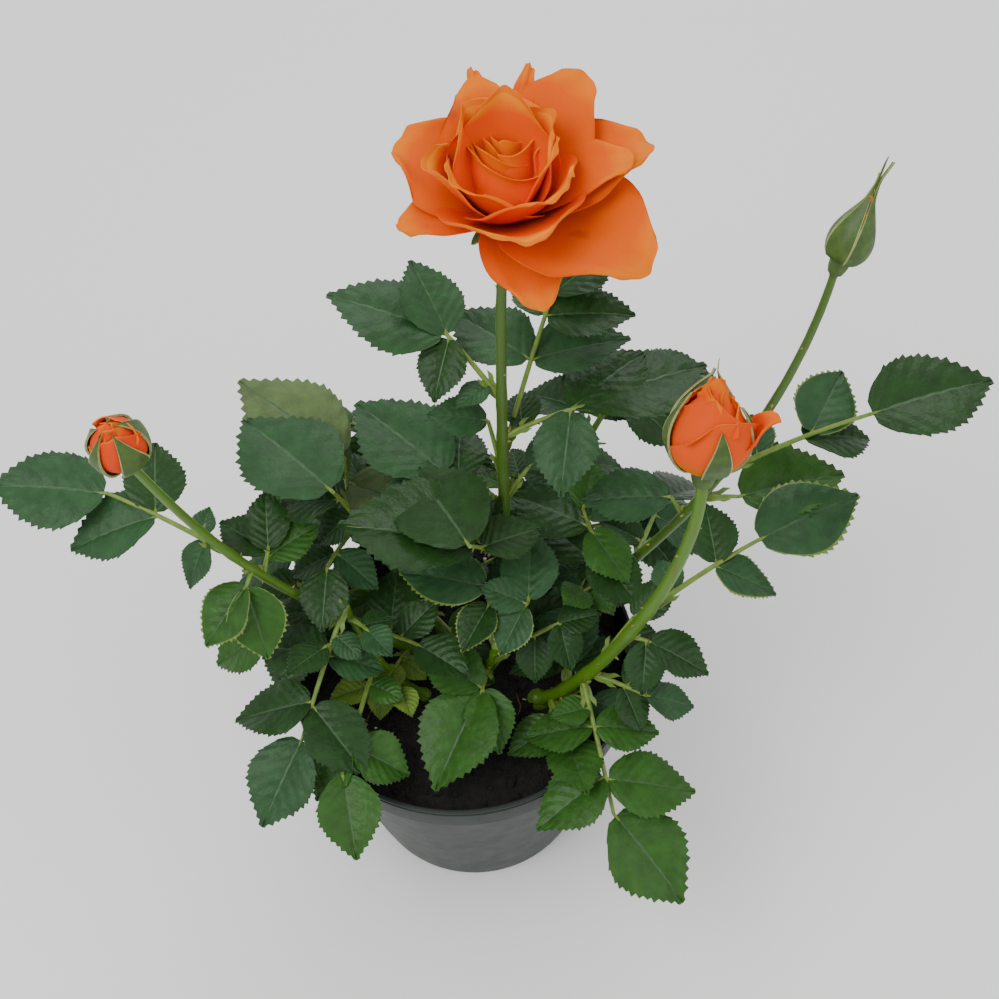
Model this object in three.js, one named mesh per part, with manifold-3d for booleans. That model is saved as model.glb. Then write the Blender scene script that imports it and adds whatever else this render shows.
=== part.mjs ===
// A young garden rose in its nursery pot: four canes that carry an open bloom and three buds,
// short inner stems, and compound leaves. Units are millimetres, +Z is up, and the origin is the
// centre of the pot's flat underside. X runs along the bush's widest spread.
import * as THREE from 'three';
import { mergeVertices } from 'three/addons/utils/BufferGeometryUtils.js';
import Module from 'manifold-3d';

const wasm = await Module();
wasm.setup();

// ---- Driving dimensions ---------------------------------------------------------------------

const CLEARANCE = 0.3;

const POT = { rimRadius: 60, baseRadius: 42, height: 96, bandHeight: 10.5, bandStep: 2.4,
  wall: 1.4, floor: 1.8, footChamfer: 1.5, segments: 36 };
const SOIL_TOP = 90;

const CANE_SIDES = 8;
const CANE_RINGS = 9;
const FOOT_FLARE = 0.55;
const FOOT_FLARE_SHARE = 0.1;

// Each cane is one tapering limb on a cubic curve: its foot, two lean points and its tip, and the
// radii above its foot and at its tip.
const SOIL_LEVEL = SOIL_TOP + CLEARANCE;
const CANES = {
  main_cane: { foot: [14, 8], lean: [[19, 16, 116], [19, 30, 236]], tip: [24, 33, 261],
    radii: [2.1, 1.4] },
  left_cane: { foot: [-10, 0], lean: [[-44, 0, 139], [-64, 1, 141]], tip: [-83, -8, 224],
    radii: [1.9, 1.3] },
  front_cane: { foot: [25, -17], lean: [[36, -21, 95], [70, -38, 182]], tip: [72, -25, 218],
    radii: [2.3, 1.7] },
  tall_cane: { foot: [22, 10], lean: [[62, 16, 113], [98, -2, 199]], tip: [109, 10, 260],
    radii: [1.9, 1.1] },
  inner_left_stem: { foot: [-6, 12], lean: [[-18, 20, 115], [-28, 26, 130]], tip: [-33, 30, 146],
    radii: [1.7, 1.1] },
  low_left_stem: { foot: [-14, -12], lean: [[-24, -14, 105], [-33, -8, 122]], tip: [-35, -5, 142],
    radii: [1.5, 1] },
  centre_stem: { foot: [8, -8], lean: [[8, -12, 102], [10, -14, 112]], tip: [12, -15, 124],
    radii: [1.5, 1] },
  back_left_stem: { foot: [-4, 26], lean: [[-8, 42, 112], [-16, 54, 132]], tip: [-22, 60, 146],
    radii: [1.6, 1] },
  back_right_stem: { foot: [22, 27], lean: [[30, 42, 112], [46, 54, 134]], tip: [56, 60, 150],
    radii: [1.6, 1] },
};

// A compound leaf is a stalk with pairs of leaflets and one at its end.
const STALK_SIDES = 3;
const STALK_RINGS = 3;
const STALK_RADII = [0.95, 0.6];
const STALK_ARCH = 0.08;
const LEAFLET = { widthShare: 0.78, thickness: 0.8, fold: 0.1, curl: 0.14, root: 0.35, rootHalf: 0.4 };
const LEAFLET_STATIONS = [0.26, 0.62];
const PAIR_SPLAY = 62;
const PAIR_HANG = 6;
const PAIR_SIZES = [0.86, 0.72];
const PAIR_PLACES = [0.35, 0.81];
const SPLAY_JITTER = 9;
const HANG_JITTER = 8;
const SIZE_JITTER = 0.07;
const ROLL_JITTER = 8;
// A stalk or leaflet that would touch a neighbour is swung by the next of these degrees, and is
// left out where none of them is clear.
const STALK_SWINGS = [0, 6, -6, 12, -12, 18, -18];
const LEAFLET_SWINGS = [0, 8, -8, 16, -16, 24, -24, 32, -32];

// One line per leaf: name, cane and place along it (0 to 1), [heading, rise, length] of its stalk
// and of its end leaflet (degrees round from +X, degrees above level, mm), and its side leaflets:
// either a number of even pairs, or [place on the stalk, heading, rise, length] of each.
const LEAVES = [
  ['top_left', 'main_cane', 0.61, [134, 34, 26], [160, 18, 38],
    [[0.97, 112, 28, 27], [0.95, 249, -25, 20]]],
  ['right_top', 'main_cane', 0.54, [7, 18, 27], [22, 3, 43],
    [[0.84, 257, -24, 27], [0.84, 40, 9, 32]]],
  ['rear_top', 'main_cane', 0.50, [56, 52, 54], [31, 20, 24],
    [[0.58, 137, 7, 32], [0.58, 7, 11, 31], [0.86, -7, 8, 27], [0.86, 110, 10, 18]]],
  ['rear_left', 'main_cane', 0.46, [110, 60, 20], [178, 20, 19], 0],
  ['left_fan', 'inner_left_stem', 0.98, [80, 78, 22], [141, 21, 44],
    [[0.55, 142, 8, 37], [0.5, -26, 0, 40]]],
  ['mid_back', 'main_cane', 0.40, [165, 35, 22], [134, 12, 41],
    [[0.8, 190, 4, 26], [0.8, 85, 10, 24]]],
  ['mid_high', 'main_cane', 0.32, [229, 48, 18], [129, 10, 36], [[0.9, 61, 18, 15]]],
  ['centre_left', 'centre_stem', 0.98, [95, 58, 22], [164, 8, 29], [[0.7, 235, -10, 18]]],
  ['centre_up', 'centre_stem', 0.86, [24, 57, 25], [83, 20, 25],
    [[0.96, 158, 8, 16], [0.92, 233, -24, 18]]],
  ['centre_right', 'centre_stem', 0.62, [5, 38, 30], [-79, -30, 16],
    [[0.65, -96, -36, 16], [0.95, 10, 9, 15]]],
  ['front_mid', 'centre_stem', 0.50, [-103, 25, 13], [-122, -12, 36],
    [[0.97, 143, 10, 24], [0.97, -79, -20, 22]]],
  ['right_centre', 'tall_cane', 0.25, [145, 76, 37], [71, 24, 17],
    [[0.74, 149, 8, 29], [0.70, -59, -11, 22], [0.84, 35, 15, 18]]],
  ['behind_bud', 'tall_cane', 0.48, [150, 60, 9], [174, 2, 28], 0],
  ['right_behind', 'tall_cane', 0.53, [-6, 6, 12], [12, 3, 36], 0],
  ['far_right', 'tall_cane', 0.60, [10, 16, 47], [12, 10, 40],
    [[0.60, 57, 13, 26], [0.54, 14, -16, 26]]],
  ['right_mid', 'front_cane', 0.62, [27, 9, 40], [21, 10, 36],
    [[0.62, 92, 16, 21], [0.60, -21, -14, 21]]],
  ['right_low', 'front_cane', 0.52, [-27, 10, 7], [-22, -20, 22], [[0.9, -100, -33, 17]]],
  ['right_under', 'front_cane', 0.33, [-26, -6, 20], [-4, -20, 18],
    [[0.66, 40, 7, 18], [0.60, -65, -33, 17]]],
  ['lower_right', 'front_cane', 0.30, [-81, -26, 45], [-49, -25, 37],
    [[0.74, -150, -6, 28], [0.76, -6, -11, 31], [0.38, 178, -6, 24], [0.38, -4, -6, 22]]],
  ['left_up', 'left_cane', 0.60, [60, 55, 9], [92, 24, 20],
    [[0.7, 30, 14, 19], [0.92, 140, 11, 20]]],
  ['left_hang', 'left_cane', 0.64, [250, -10, 6], [-75, -46, 25], [[0.9, -140, -29, 24]]],
  ['left_far', 'left_cane', 0.72, [154, 17, 42], [172, 10, 36],
    [[0.58, 188, -8, 30], [0.60, 91, 18, 25], [0.2, -122, -32, 16]]],
  ['inner_hang', 'inner_left_stem', 0.85, [-113, 19, 26], [-98, -24, 21], 1],
  ['inner_small', 'inner_left_stem', 0.35, [-101, 19, 25], [82, 16, 22], 0],
  ['lower_left', 'low_left_stem', 0.98, [-117, -33, 45], [-123, -22, 31],
    [[0.74, 180, -12, 28], [0.77, -52, -19, 28], [0.38, 164, -5, 26], [0.40, -10, -16, 19]]],
  ['front_left', 'low_left_stem', 0.50, [-107, -3, 42], [-82, -18, 27], 1],
  ['left_back', 'left_cane', 0.42, [108, -12, 36], [138, -28, 30], 1],
  ['left_low', 'left_cane', 0.24, [168, -14, 34], [190, -30, 27], 1],
  ['back_left', 'back_left_stem', 0.96, [140, -8, 14], [165, -30, 31], 1],
  ['back_mid', 'back_left_stem', 0.72, [95, 4, 18], [105, -38, 31], 1],
  ['back_out', 'back_left_stem', 0.50, [150, 5, 34], [157, -22, 33], 1],
  ['back_over', 'back_left_stem', 0.28, [112, -5, 46], [118, -36, 32], 1],
  ['rear_right', 'back_right_stem', 0.98, [40, 4, 20], [22, -20, 33], 1],
  ['rear_high', 'back_right_stem', 0.78, [95, 26, 22], [82, -12, 31], 1],
  ['rear_low', 'back_right_stem', 0.46, [70, -12, 28], [84, -40, 30], 1],
  ['rear_over', 'back_right_stem', 0.25, [10, -4, 46], [18, -32, 30], 1],
  ['side_right', 'tall_cane', 0.34, [66, -16, 34], [44, -30, 31], 1],
  ['left_mid', 'inner_left_stem', 0.72, [-112, 71, 50], [131, -2, 44],
    [[0.8, 165, -16, 24], [0.45, -159, -25, 16]]],
  ['centre_big', 'main_cane', 0.27, [-112, 60, 55], [115, -1, 40],
    [[0.75, 167, 14, 44], [0.7, 22, -2, 21]]],
  ['inner_right', 'tall_cane', 0.16, [-18, 80, 33], [-56, 8, 24],
    [[0.8, 132, 15, 28], [0.55, -169, 13, 14]]],
  ['low_right', 'front_cane', 0.2, [77, 8, 14], [-168, -3, 22],
    [[0.55, 90, 9, 30], [0.5, 26, 9, 21]]],
];

// A petal or sepal: its heading round the bloom's axis, how far it leans out at its root and its
// tip (degrees), its length and width (mm), and how deep it is cupped (share of its half width).
const PETAL = { thickness: 0.9, rows: 3, columns: 2, spread: 2.4 };
const HEART_SIDES = 8;
const SEPAL_SHAPE = { thickness: 1.1, rows: 3, columns: 2, spread: 2.2 };

// A bloom sits on its cane's tip along its own axis: the hip and the core are [radius, height] of
// the round bodies that its sepals and petals stand on.
const BLOOMS = {
  open_rose: {
    cane: 'main_cane', axis: [0, -2, 30], hip: [3.2, 7], core: [8, 28],
    petals: [
      [-41, 54, 100, 48, 39, 0.2], [5, 46, 80, 43, 30, 0.2], [46, 42, 64, 42, 29, 0.2],
      [102, 36, 58, 36, 27, 0.2], [151, 44, 80, 35, 34, 0.2], [203, 50, 84, 32, 17, 0.2],
      [-77, 62, 116, 34, 23, 0.2], [-84, 60, 38, 42, 38, 0.5], [-55, 54, 20, 35, 34, 0.55],
      [78, 28, -4, 36, 30, 0.5], [186, 48, 20, 31, 26, 0.5], [100, 44, 62, 39.5, 8, 0.5],
      [73, 44, 60, 40, 7, 0.5],
    ],
    sepals: [[100, 80, 100, 22, 7, 0.2], [40, 80, 120, 20, 7, 0.2], [-30, 85, 130, 18, 7, 0.2],
      [-110, 82, 100, 12, 7, 0.2], [205, 80, 96, 14, 7, 0.2]],
  },
  front_bud: {
    cane: 'front_cane', axis: [3, 11, 30], hip: [3.6, 7], core: [9.2, 24],
    petals: [[-60, 60, -30, 27, 24, 0.5], [60, 60, -30, 29, 24, 0.5], [180, 60, -28, 27, 24, 0.5],
      [-6, 64, 12, 24, 14, 0.5]],
    sepals: [[-78, 66, -8, 18, 12, 0.5], [188, 64, -26, 27, 9, 0.4], [-40, 64, -24, 24, 8, 0.4],
      [48, 64, -16, 33, 6, 0.4], [122, 64, -14, 28, 7, 0.4]],
  },
  left_bud: {
    cane: 'left_cane', axis: [-2, -5, 30], hip: [3, 6], core: [7.6, 17.5],
    petals: [],
    sepals: [[-60, 60, -26, 18, 9, 0.5], [12, 60, -26, 18, 9, 0.5], [84, 60, -26, 17, 9, 0.5],
      [156, 60, -26, 18, 9, 0.5], [228, 60, -26, 18, 9, 0.5]],
  },
  tall_bud: {
    cane: 'tall_cane', axis: [11, 7, 33], hip: [2.8, 6], core: [5.4, 17],
    petals: [],
    sepals: [[-60, 48, -40, 26, 10, 0.5], [12, 48, -36, 31, 10, 0.5], [84, 48, -40, 26, 10, 0.5],
      [156, 48, -42, 25, 10, 0.5], [228, 48, -42, 26, 10, 0.5]],
  },
};

// ---- Colours and finishes -------------------------------------------------------------------

const FINISHES = {
  pot: { color: 0x565c56, roughness: 0.42, metalness: 0 },
  peat: { color: 0x120e0c, roughness: 0.95, metalness: 0 },
  cane: { color: 0x4c6e16, roughness: 0.5, metalness: 0 },
  leaf: { color: 0x34562f, roughness: 0.5, metalness: 0 },
  petal: { color: 0xf96806, roughness: 0.6, metalness: 0 },
  sepal: { color: 0x5a6c1c, roughness: 0.6, metalness: 0 },
};

// ---- Solids ---------------------------------------------------------------------------------

const UP = new THREE.Vector3(0, 0, 1);
const vector = (list) => new THREE.Vector3(...list);
const radians = THREE.MathUtils.degToRad;

function meshOf(positions, faces) {
  const geometry = new THREE.BufferGeometry();
  geometry.setAttribute('position', new THREE.Float32BufferAttribute(positions, 3));
  geometry.setIndex(faces);
  return geometry;
}

function solidOf(geometry) {
  const bare = geometry.clone();
  bare.deleteAttribute('normal');
  bare.deleteAttribute('uv');
  const merged = mergeVertices(bare, 1e-4);
  const vertProperties = new Float32Array(merged.attributes.position.array);
  const triVerts = new Uint32Array(merged.index.array);
  return new wasm.Manifold(new wasm.Mesh({ numProp: 3, vertProperties, triVerts }));
}

function geometryOf(solid) {
  const mesh = solid.getMesh();
  return meshOf(Array.from(mesh.vertProperties), Array.from(mesh.triVerts));
}

// The largest outer body of a solid: scraps and sealed hollows are left out.
function wholeBody(solid) {
  const bodies = solid.decompose().sort((a, b) => b.volume() - a.volume());
  return bodies[0];
}

function joined(solids) {
  return wholeBody(solids.reduce((sum, next) => sum.add(next)));
}

// A direction from a compass heading round from +X and a rise above level, in degrees.
function direction(heading, rise) {
  const level = Math.cos(radians(rise));
  return new THREE.Vector3(level * Math.cos(radians(heading)), level * Math.sin(radians(heading)),
    Math.sin(radians(rise)));
}

// A round or many-sided limb along a curve, with flat ends. The first ring can lie level.
function limb(curve, radiusAt, rings, sides, levelFoot = false) {
  const positions = [];
  const faces = [];
  let side = new THREE.Vector3(1, 0, 0);
  for (let ring = 0; ring < rings; ring += 1) {
    const share = ring / (rings - 1);
    const centre = curve.getPoint(share);
    const along = levelFoot && ring === 0 ? UP.clone() : curve.getTangent(share);
    side = side.clone().addScaledVector(along, -side.dot(along));
    if (side.lengthSq() < 1e-6) {
      side.set(0, 1, 0).addScaledVector(along, -along.y);
    }
    side.normalize();
    const other = along.clone().cross(side);
    for (let i = 0; i < sides; i += 1) {
      const turn = (2 * Math.PI * i) / sides;
      const point = centre.clone()
        .addScaledVector(side, radiusAt(share) * Math.cos(turn))
        .addScaledVector(other, radiusAt(share) * Math.sin(turn));
      positions.push(point.x, point.y, point.z);
    }
  }
  for (let ring = 0; ring + 1 < rings; ring += 1) {
    for (let i = 0; i < sides; i += 1) {
      const a = ring * sides + i;
      const b = ring * sides + ((i + 1) % sides);
      faces.push(a, b, b + sides, a, b + sides, a + sides);
    }
  }
  const last = (rings - 1) * sides;
  for (let i = 1; i + 1 < sides; i += 1) {
    faces.push(0, i + 1, i, last, last + i, last + i + 1);
  }
  return meshOf(positions, faces);
}

// ---- Pot and soil ---------------------------------------------------------------------------

function wallRadius(height) {
  const share = height / (POT.height - POT.bandHeight);
  return THREE.MathUtils.lerp(POT.baseRadius, POT.rimRadius - POT.bandStep, share);
}

function buildPot() {
  const bandFoot = POT.height - POT.bandHeight;
  const inner = POT.rimRadius - POT.wall;
  const profile = [
    [0, 0],
    [POT.baseRadius - POT.footChamfer, 0],
    [wallRadius(POT.footChamfer), POT.footChamfer],
    [wallRadius(bandFoot), bandFoot],
    [POT.rimRadius - 0.6, bandFoot + 0.6],
    [POT.rimRadius, POT.height - 0.7],
    [POT.rimRadius - 0.7, POT.height],
    [inner - 0.3, POT.height - 0.3],
    [inner - 0.6, bandFoot + 1.4],
    [wallRadius(bandFoot) - POT.wall, bandFoot - 1],
    [wallRadius(POT.floor) - POT.wall, POT.floor],
    [0, POT.floor],
  ];
  return lathe(profile);
}

function lathe(profile) {
  const points = profile.map(([radius, height]) => new THREE.Vector2(radius, height));
  return new THREE.LatheGeometry(points, POT.segments).rotateX(Math.PI / 2);
}

function buildSoil() {
  const bandFoot = POT.height - POT.bandHeight;
  const gap = POT.wall + CLEARANCE;
  const foot = POT.floor + CLEARANCE;
  return lathe([
    [0, foot],
    [wallRadius(foot) - gap, foot],
    [wallRadius(bandFoot) - gap, bandFoot - 1],
    [wallRadius(bandFoot) - gap, SOIL_TOP],
    [0, SOIL_TOP],
  ]);
}

// ---- Canes ----------------------------------------------------------------------------------

function caneCurve(cane) {
  const foot = vector([...cane.foot, SOIL_LEVEL]);
  return new THREE.CubicBezierCurve3(foot, vector(cane.lean[0]), vector(cane.lean[1]), vector(cane.tip));
}

function buildCane(cane, grow = 0) {
  const radiusAt = (share) => {
    const flare = FOOT_FLARE * Math.max(0, 1 - share / FOOT_FLARE_SHARE) ** 2;
    return THREE.MathUtils.lerp(cane.radii[0], cane.radii[1], share) * (1 + flare) + grow;
  };
  return limb(caneCurve(cane), radiusAt, CANE_RINGS, CANE_SIDES, true);
}

// ---- Leaves ---------------------------------------------------------------------------------

// The same short run of numbers for the same seed, from 0 to 1.
function seededRun(seed) {
  let state = (seed * 7919 + 17) % 2147483647;
  return () => {
    state = (state * 16807) % 2147483647;
    return state / 2147483647;
  };
}

const halfWidthAt = (share) => Math.sin(Math.PI * share ** 0.86) ** 0.8 * (1 - 0.1 * share);

// A leaflet: a thin lens, folded a little along its midrib and curling down towards its tip.
function buildLeaflet({ root, along, up, length }, grow = 0) {
  const side = up.clone().cross(along);
  const place = (forward, across, height) => root.clone().addScaledVector(along, forward)
    .addScaledVector(side, across).addScaledVector(up, height);
  const halfThick = LEAFLET.thickness / 2 + grow;
  const rings = [[-LEAFLET.root, LEAFLET.rootHalf + grow, 0, halfThick]];
  for (const share of LEAFLET_STATIONS) {
    const half = (LEAFLET.widthShare * length * halfWidthAt(share)) / 2;
    rings.push([share * length, half + grow, share, halfThick]);
  }
  const positions = [];
  for (const [forward, half, share, thick] of rings) {
    const drop = -LEAFLET.curl * length * share * share;
    const lift = share > 0 ? LEAFLET.fold * half : 0;
    const points = [place(forward, half, drop + lift), place(forward, 0, drop + thick),
      place(forward, -half, drop + lift), place(forward, 0, drop - thick)];
    points.forEach((point) => positions.push(point.x, point.y, point.z));
  }
  const tip = place(length + grow, 0, -LEAFLET.curl * length);
  positions.push(tip.x, tip.y, tip.z);
  const faces = [0, 2, 1, 0, 3, 2];
  for (let ring = 0; ring + 1 < rings.length; ring += 1) {
    for (let i = 0; i < 4; i += 1) {
      const a = ring * 4 + i;
      const b = ring * 4 + ((i + 1) % 4);
      faces.push(a, b + 4, a + 4, a, b, b + 4);
    }
  }
  const last = (rings.length - 1) * 4;
  const end = rings.length * 4;
  for (let i = 0; i < 4; i += 1) {
    faces.push(last + i, last + ((i + 1) % 4), end);
  }
  return meshOf(positions, faces);
}

// The frame of a blade: its side lies level before the roll turns it.
function bladeFrame(heading, rise, roll) {
  const along = direction(heading, rise);
  const level = direction(heading + 90, 0);
  const up = along.clone().cross(level).normalize().applyAxisAngle(along, radians(roll));
  return { along, up };
}

function stalkCurve(start, stalk, swing) {
  const [heading, rise, reach] = stalk;
  const end = start.clone().addScaledVector(direction(heading + swing, rise), reach);
  const middle = start.clone().lerp(end, 0.5).addScaledVector(UP, STALK_ARCH * reach);
  return new THREE.QuadraticBezierCurve3(start, middle, end);
}

// Even pairs of side leaflets, splayed to both hands behind the end leaflet.
function evenPairs(count, stalk, blade, random) {
  const [heading, rise, length] = blade;
  const jitter = (range) => range * (2 * random() - 1);
  const leaflets = [];
  for (let pair = 0; pair < count; pair += 1) {
    for (const hand of [1, -1]) {
      leaflets.push([
        1 - (PAIR_PLACES[pair] * length) / stalk[2],
        heading + hand * (PAIR_SPLAY + jitter(SPLAY_JITTER)),
        rise / 2 - PAIR_HANG + jitter(HANG_JITTER),
        length * PAIR_SIZES[pair] * (1 + jitter(SIZE_JITTER)),
      ]);
    }
  }
  return leaflets;
}

// Where each leaflet of a leaf would grow before it swings clear of its neighbours.
function leafletPlans(curve, leaf, random) {
  const [, , , stalk, blade, side] = leaf;
  const sides = Array.isArray(side) ? side : evenPairs(side, stalk, blade, random);
  return [[1, ...blade], ...sides].map(([place, heading, rise, length]) => {
    const roll = ROLL_JITTER * (2 * random() - 1);
    return { root: curve.getPoint(place), length, ...bladeFrame(heading, rise, roll) };
  });
}

// Raises or lowers a leaflet about its root by a number of degrees.
function swung(plan, degrees) {
  const axis = plan.up.clone().cross(plan.along);
  return { ...plan, along: plan.along.clone().applyAxisAngle(axis, -radians(degrees)),
    up: plan.up.clone().applyAxisAngle(axis, -radians(degrees)) };
}

const occupied = [];

function occupy(solid, owner) {
  occupied.push({ solid, owner, box: solid.boundingBox() });
}

function isClear(solid, owners) {
  const box = solid.boundingBox();
  return !occupied.some((other) => !owners.includes(other.owner)
    && [0, 1, 2].every((i) => box.min[i] < other.box.max[i] && other.box.min[i] < box.max[i])
    && !solid.intersect(other.solid).isEmpty());
}

function buildLeaf(leaf, seed, caneSpaces) {
  const [name, caneName, place, stalk] = leaf;
  const random = seededRun(seed);
  const start = caneCurve(CANES[caneName]).getPoint(place);
  const radiusAt = (grow) => (share) => THREE.MathUtils.lerp(STALK_RADII[0], STALK_RADII[1], share) + grow;
  const stalkAt = (swing, grow) => {
    const curve = stalkCurve(start, stalk, swing);
    return solidOf(limb(curve, radiusAt(grow), STALK_RINGS, STALK_SIDES));
  };
  const swing = STALK_SWINGS.find((turn) => isClear(stalkAt(turn, 0), [name, caneName]));
  if (swing === undefined) {
    return null;
  }
  const curve = stalkCurve(start, stalk, swing);
  const parts = [stalkAt(swing, 0)];
  occupy(stalkAt(swing, CLEARANCE), name);
  for (const plan of leafletPlans(curve, leaf, random)) {
    const clear = (degrees) => isClear(solidOf(buildLeaflet(swung(plan, degrees))), [name]);
    const turn = LEAFLET_SWINGS.find(clear);
    if (turn !== undefined) {
      const grown = swung(plan, turn);
      parts.push(solidOf(buildLeaflet(grown)));
      occupy(solidOf(buildLeaflet(grown, CLEARANCE)), name);
    }
  }
  return wholeBody(joined(parts).subtract(caneSpaces[caneName]));
}

// ---- Blooms ---------------------------------------------------------------------------------

const petalWidth = (share) => 0.12 + 0.88 * Math.sin(0.8 * Math.PI * share ** 0.8);
const sepalWidth = (share) => (0.72 + share) * (1 - share) ** 0.8 + 0.04;

// A thin cupped blade that leans out of the bloom's axis as it rises.
function buildPetal(spec, shape, widthAt, foot, grow = 0) {
  const [heading, rootLean, tipLean, length, width, cup] = spec;
  const out = direction(heading, 0);
  const side = direction(heading + 90, 0);
  const line = out.clone().multiplyScalar(shape.spread / 2).setZ(foot);
  const outer = [];
  const inner = [];
  const step = length / shape.rows;
  const risingAt = (share) => {
    const lean = radians(THREE.MathUtils.lerp(rootLean, tipLean, share));
    return out.clone().multiplyScalar(Math.sin(lean)).addScaledVector(UP, Math.cos(lean));
  };
  for (let row = 0; row <= shape.rows; row += 1) {
    const share = row / shape.rows;
    const rise = risingAt(share);
    const face = rise.clone().cross(side);
    const half = (width / 2) * widthAt(share) + grow;
    for (let column = 0; column <= shape.columns; column += 1) {
      const across = (2 * column) / shape.columns - 1;
      const middle = line.clone().addScaledVector(side, half * across)
        .addScaledVector(face, cup * half * across * across)
        .addScaledVector(rise, -0.22 * half * across * across * share);
      inner.push(middle.clone().addScaledVector(face, shape.thickness / 2 + grow));
      outer.push(middle.clone().addScaledVector(face, -shape.thickness / 2 - grow));
    }
    line.addScaledVector(risingAt((row + 0.5) / shape.rows), step);
  }
  return sheetOf(inner, outer, shape.columns + 1);
}

// A closed sheet between two grids of points, each with the same number of points in a row.
function sheetOf(inner, outer, width) {
  const count = inner.length;
  const rows = count / width;
  const positions = [...inner, ...outer].flatMap((point) => [point.x, point.y, point.z]);
  const faces = [];
  const quad = (a, b, c, d) => faces.push(a, b, c, a, c, d);
  for (let row = 0; row + 1 < rows; row += 1) {
    for (let column = 0; column + 1 < width; column += 1) {
      const a = row * width + column;
      quad(a, a + width, a + width + 1, a + 1);
      quad(count + a, count + a + 1, count + a + width + 1, count + a + width);
    }
    const left = row * width;
    const right = left + width - 1;
    quad(left, left + count, left + width + count, left + width);
    quad(right, right + width, right + width + count, right + count);
  }
  for (let column = 0; column + 1 < width; column += 1) {
    const top = count - width + column;
    quad(column, column + 1, column + 1 + count, column + count);
    quad(top, top + count, top + 1 + count, top + 1);
  }
  return meshOf(positions, faces);
}

// The round body that petals or sepals stand on, up the bloom's axis from a height.
function buildHeart(radius, height, foot, footShare, grow = 0) {
  const points = [[0, -grow], [radius * footShare + grow, -grow], [radius + grow, height * 0.45],
    [radius * 0.75 + grow, height * 0.8], [0, height + grow]];
  const profile = points.map(([across, up]) => new THREE.Vector2(across, up + foot));
  return new THREE.LatheGeometry(profile, HEART_SIDES).rotateX(Math.PI / 2);
}

function buildCalyx(bloom, grow = 0) {
  const [radius, height] = bloom.hip;
  const parts = [solidOf(buildHeart(radius, height, CLEARANCE, 0.5, grow))];
  for (const sepal of bloom.sepals) {
    parts.push(solidOf(buildPetal(sepal, SEPAL_SHAPE, sepalWidth, CLEARANCE + height * 0.62, grow)));
  }
  return joined(parts);
}

function buildPetals(bloom) {
  const foot = CLEARANCE + bloom.hip[1] * 0.8;
  const parts = [solidOf(buildHeart(bloom.core[0], bloom.core[1], foot, 0.45))];
  for (const petal of bloom.petals) {
    parts.push(solidOf(buildPetal(petal, PETAL, petalWidth, foot + 1.5)));
  }
  return wholeBody(joined(parts).subtract(buildCalyx(bloom, CLEARANCE)));
}

// The turn and place that set a bloom on its cane's tip.
function bloomPlace(bloom) {
  const turn = new THREE.Quaternion().setFromUnitVectors(UP, vector(bloom.axis).normalize());
  return new THREE.Matrix4().compose(vector(CANES[bloom.cane].tip), turn, new THREE.Vector3(1, 1, 1));
}

// ---- Assembly -------------------------------------------------------------------------------

const rose = new THREE.Group();

function addPart(name, geometry, finish) {
  const shown = geometry.index ? geometry : mergeVertices(geometry);
  shown.computeVertexNormals();
  const material = new THREE.MeshStandardMaterial(FINISHES[finish]);
  const mesh = new THREE.Mesh(shown, material);
  mesh.name = name;
  rose.add(mesh);
}

addPart('pot', buildPot(), 'pot');
addPart('soil', buildSoil(), 'peat');
occupy(solidOf(buildPot()), 'pot');
occupy(solidOf(buildSoil()), 'soil');

const caneSpaces = {};
for (const [name, cane] of Object.entries(CANES)) {
  addPart(name, buildCane(cane), 'cane');
  caneSpaces[name] = solidOf(buildCane(cane, CLEARANCE));
  occupy(caneSpaces[name], name);
}

for (const [name, bloom] of Object.entries(BLOOMS)) {
  const place = bloomPlace(bloom);
  const calyx = ['calyx', buildCalyx(bloom), 'sepal'];
  const petals = ['petals', buildPetals(bloom), 'petal'];
  for (const [part, solid, finish] of [calyx, petals]) {
    const geometry = geometryOf(solid).applyMatrix4(place);
    addPart(`${name}_${part}`, geometry, finish);
    occupy(solidOf(geometry), `${name}_${part}`);
  }
}

LEAVES.forEach((leaf, index) => {
  const solid = buildLeaf(leaf, index + 1, caneSpaces);
  if (solid) {
    addPart(`leaf_${leaf[0]}`, geometryOf(solid), 'leaf');
  }
});

export default rose;
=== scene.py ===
"""A young garden rose in its nursery pot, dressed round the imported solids.

The solids give every limb, leaf and bloom its place. The rule that grew them is written again here
and carried on to toothed leaflets, stipules, prickles, buds in the leaf axils and single petals.
Lengths are millimetres until finish_piece() turns a piece to metres.
"""

import math
from collections import namedtuple

import bmesh
import bpy
import numpy as np
from mathutils import Matrix, Quaternion, Vector, kdtree, noise


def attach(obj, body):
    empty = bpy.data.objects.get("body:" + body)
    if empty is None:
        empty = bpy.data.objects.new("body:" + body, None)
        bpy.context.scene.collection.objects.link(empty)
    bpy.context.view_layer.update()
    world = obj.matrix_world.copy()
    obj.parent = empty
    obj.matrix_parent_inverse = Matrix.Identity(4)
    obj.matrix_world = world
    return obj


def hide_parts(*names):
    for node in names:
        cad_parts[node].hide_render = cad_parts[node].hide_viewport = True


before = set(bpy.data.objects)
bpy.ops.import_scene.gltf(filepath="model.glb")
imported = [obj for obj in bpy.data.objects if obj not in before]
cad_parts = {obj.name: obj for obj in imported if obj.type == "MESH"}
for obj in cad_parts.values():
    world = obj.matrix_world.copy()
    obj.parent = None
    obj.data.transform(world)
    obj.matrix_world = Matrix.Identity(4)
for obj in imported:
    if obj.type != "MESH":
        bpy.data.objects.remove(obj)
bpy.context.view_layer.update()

bl_info = {
    "name": "Garden rose in a nursery pot",
    "version": (1, 0, 0),
    "blender": (4, 5, 0),
    "location": "View3D > Sidebar > Rose",
    "description": "Builds the pot, peat, canes, leaves and blooms of a young rose",
    "category": "Object",
}

MM = 0.001
UP = Vector((0, 0, 1))

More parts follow.
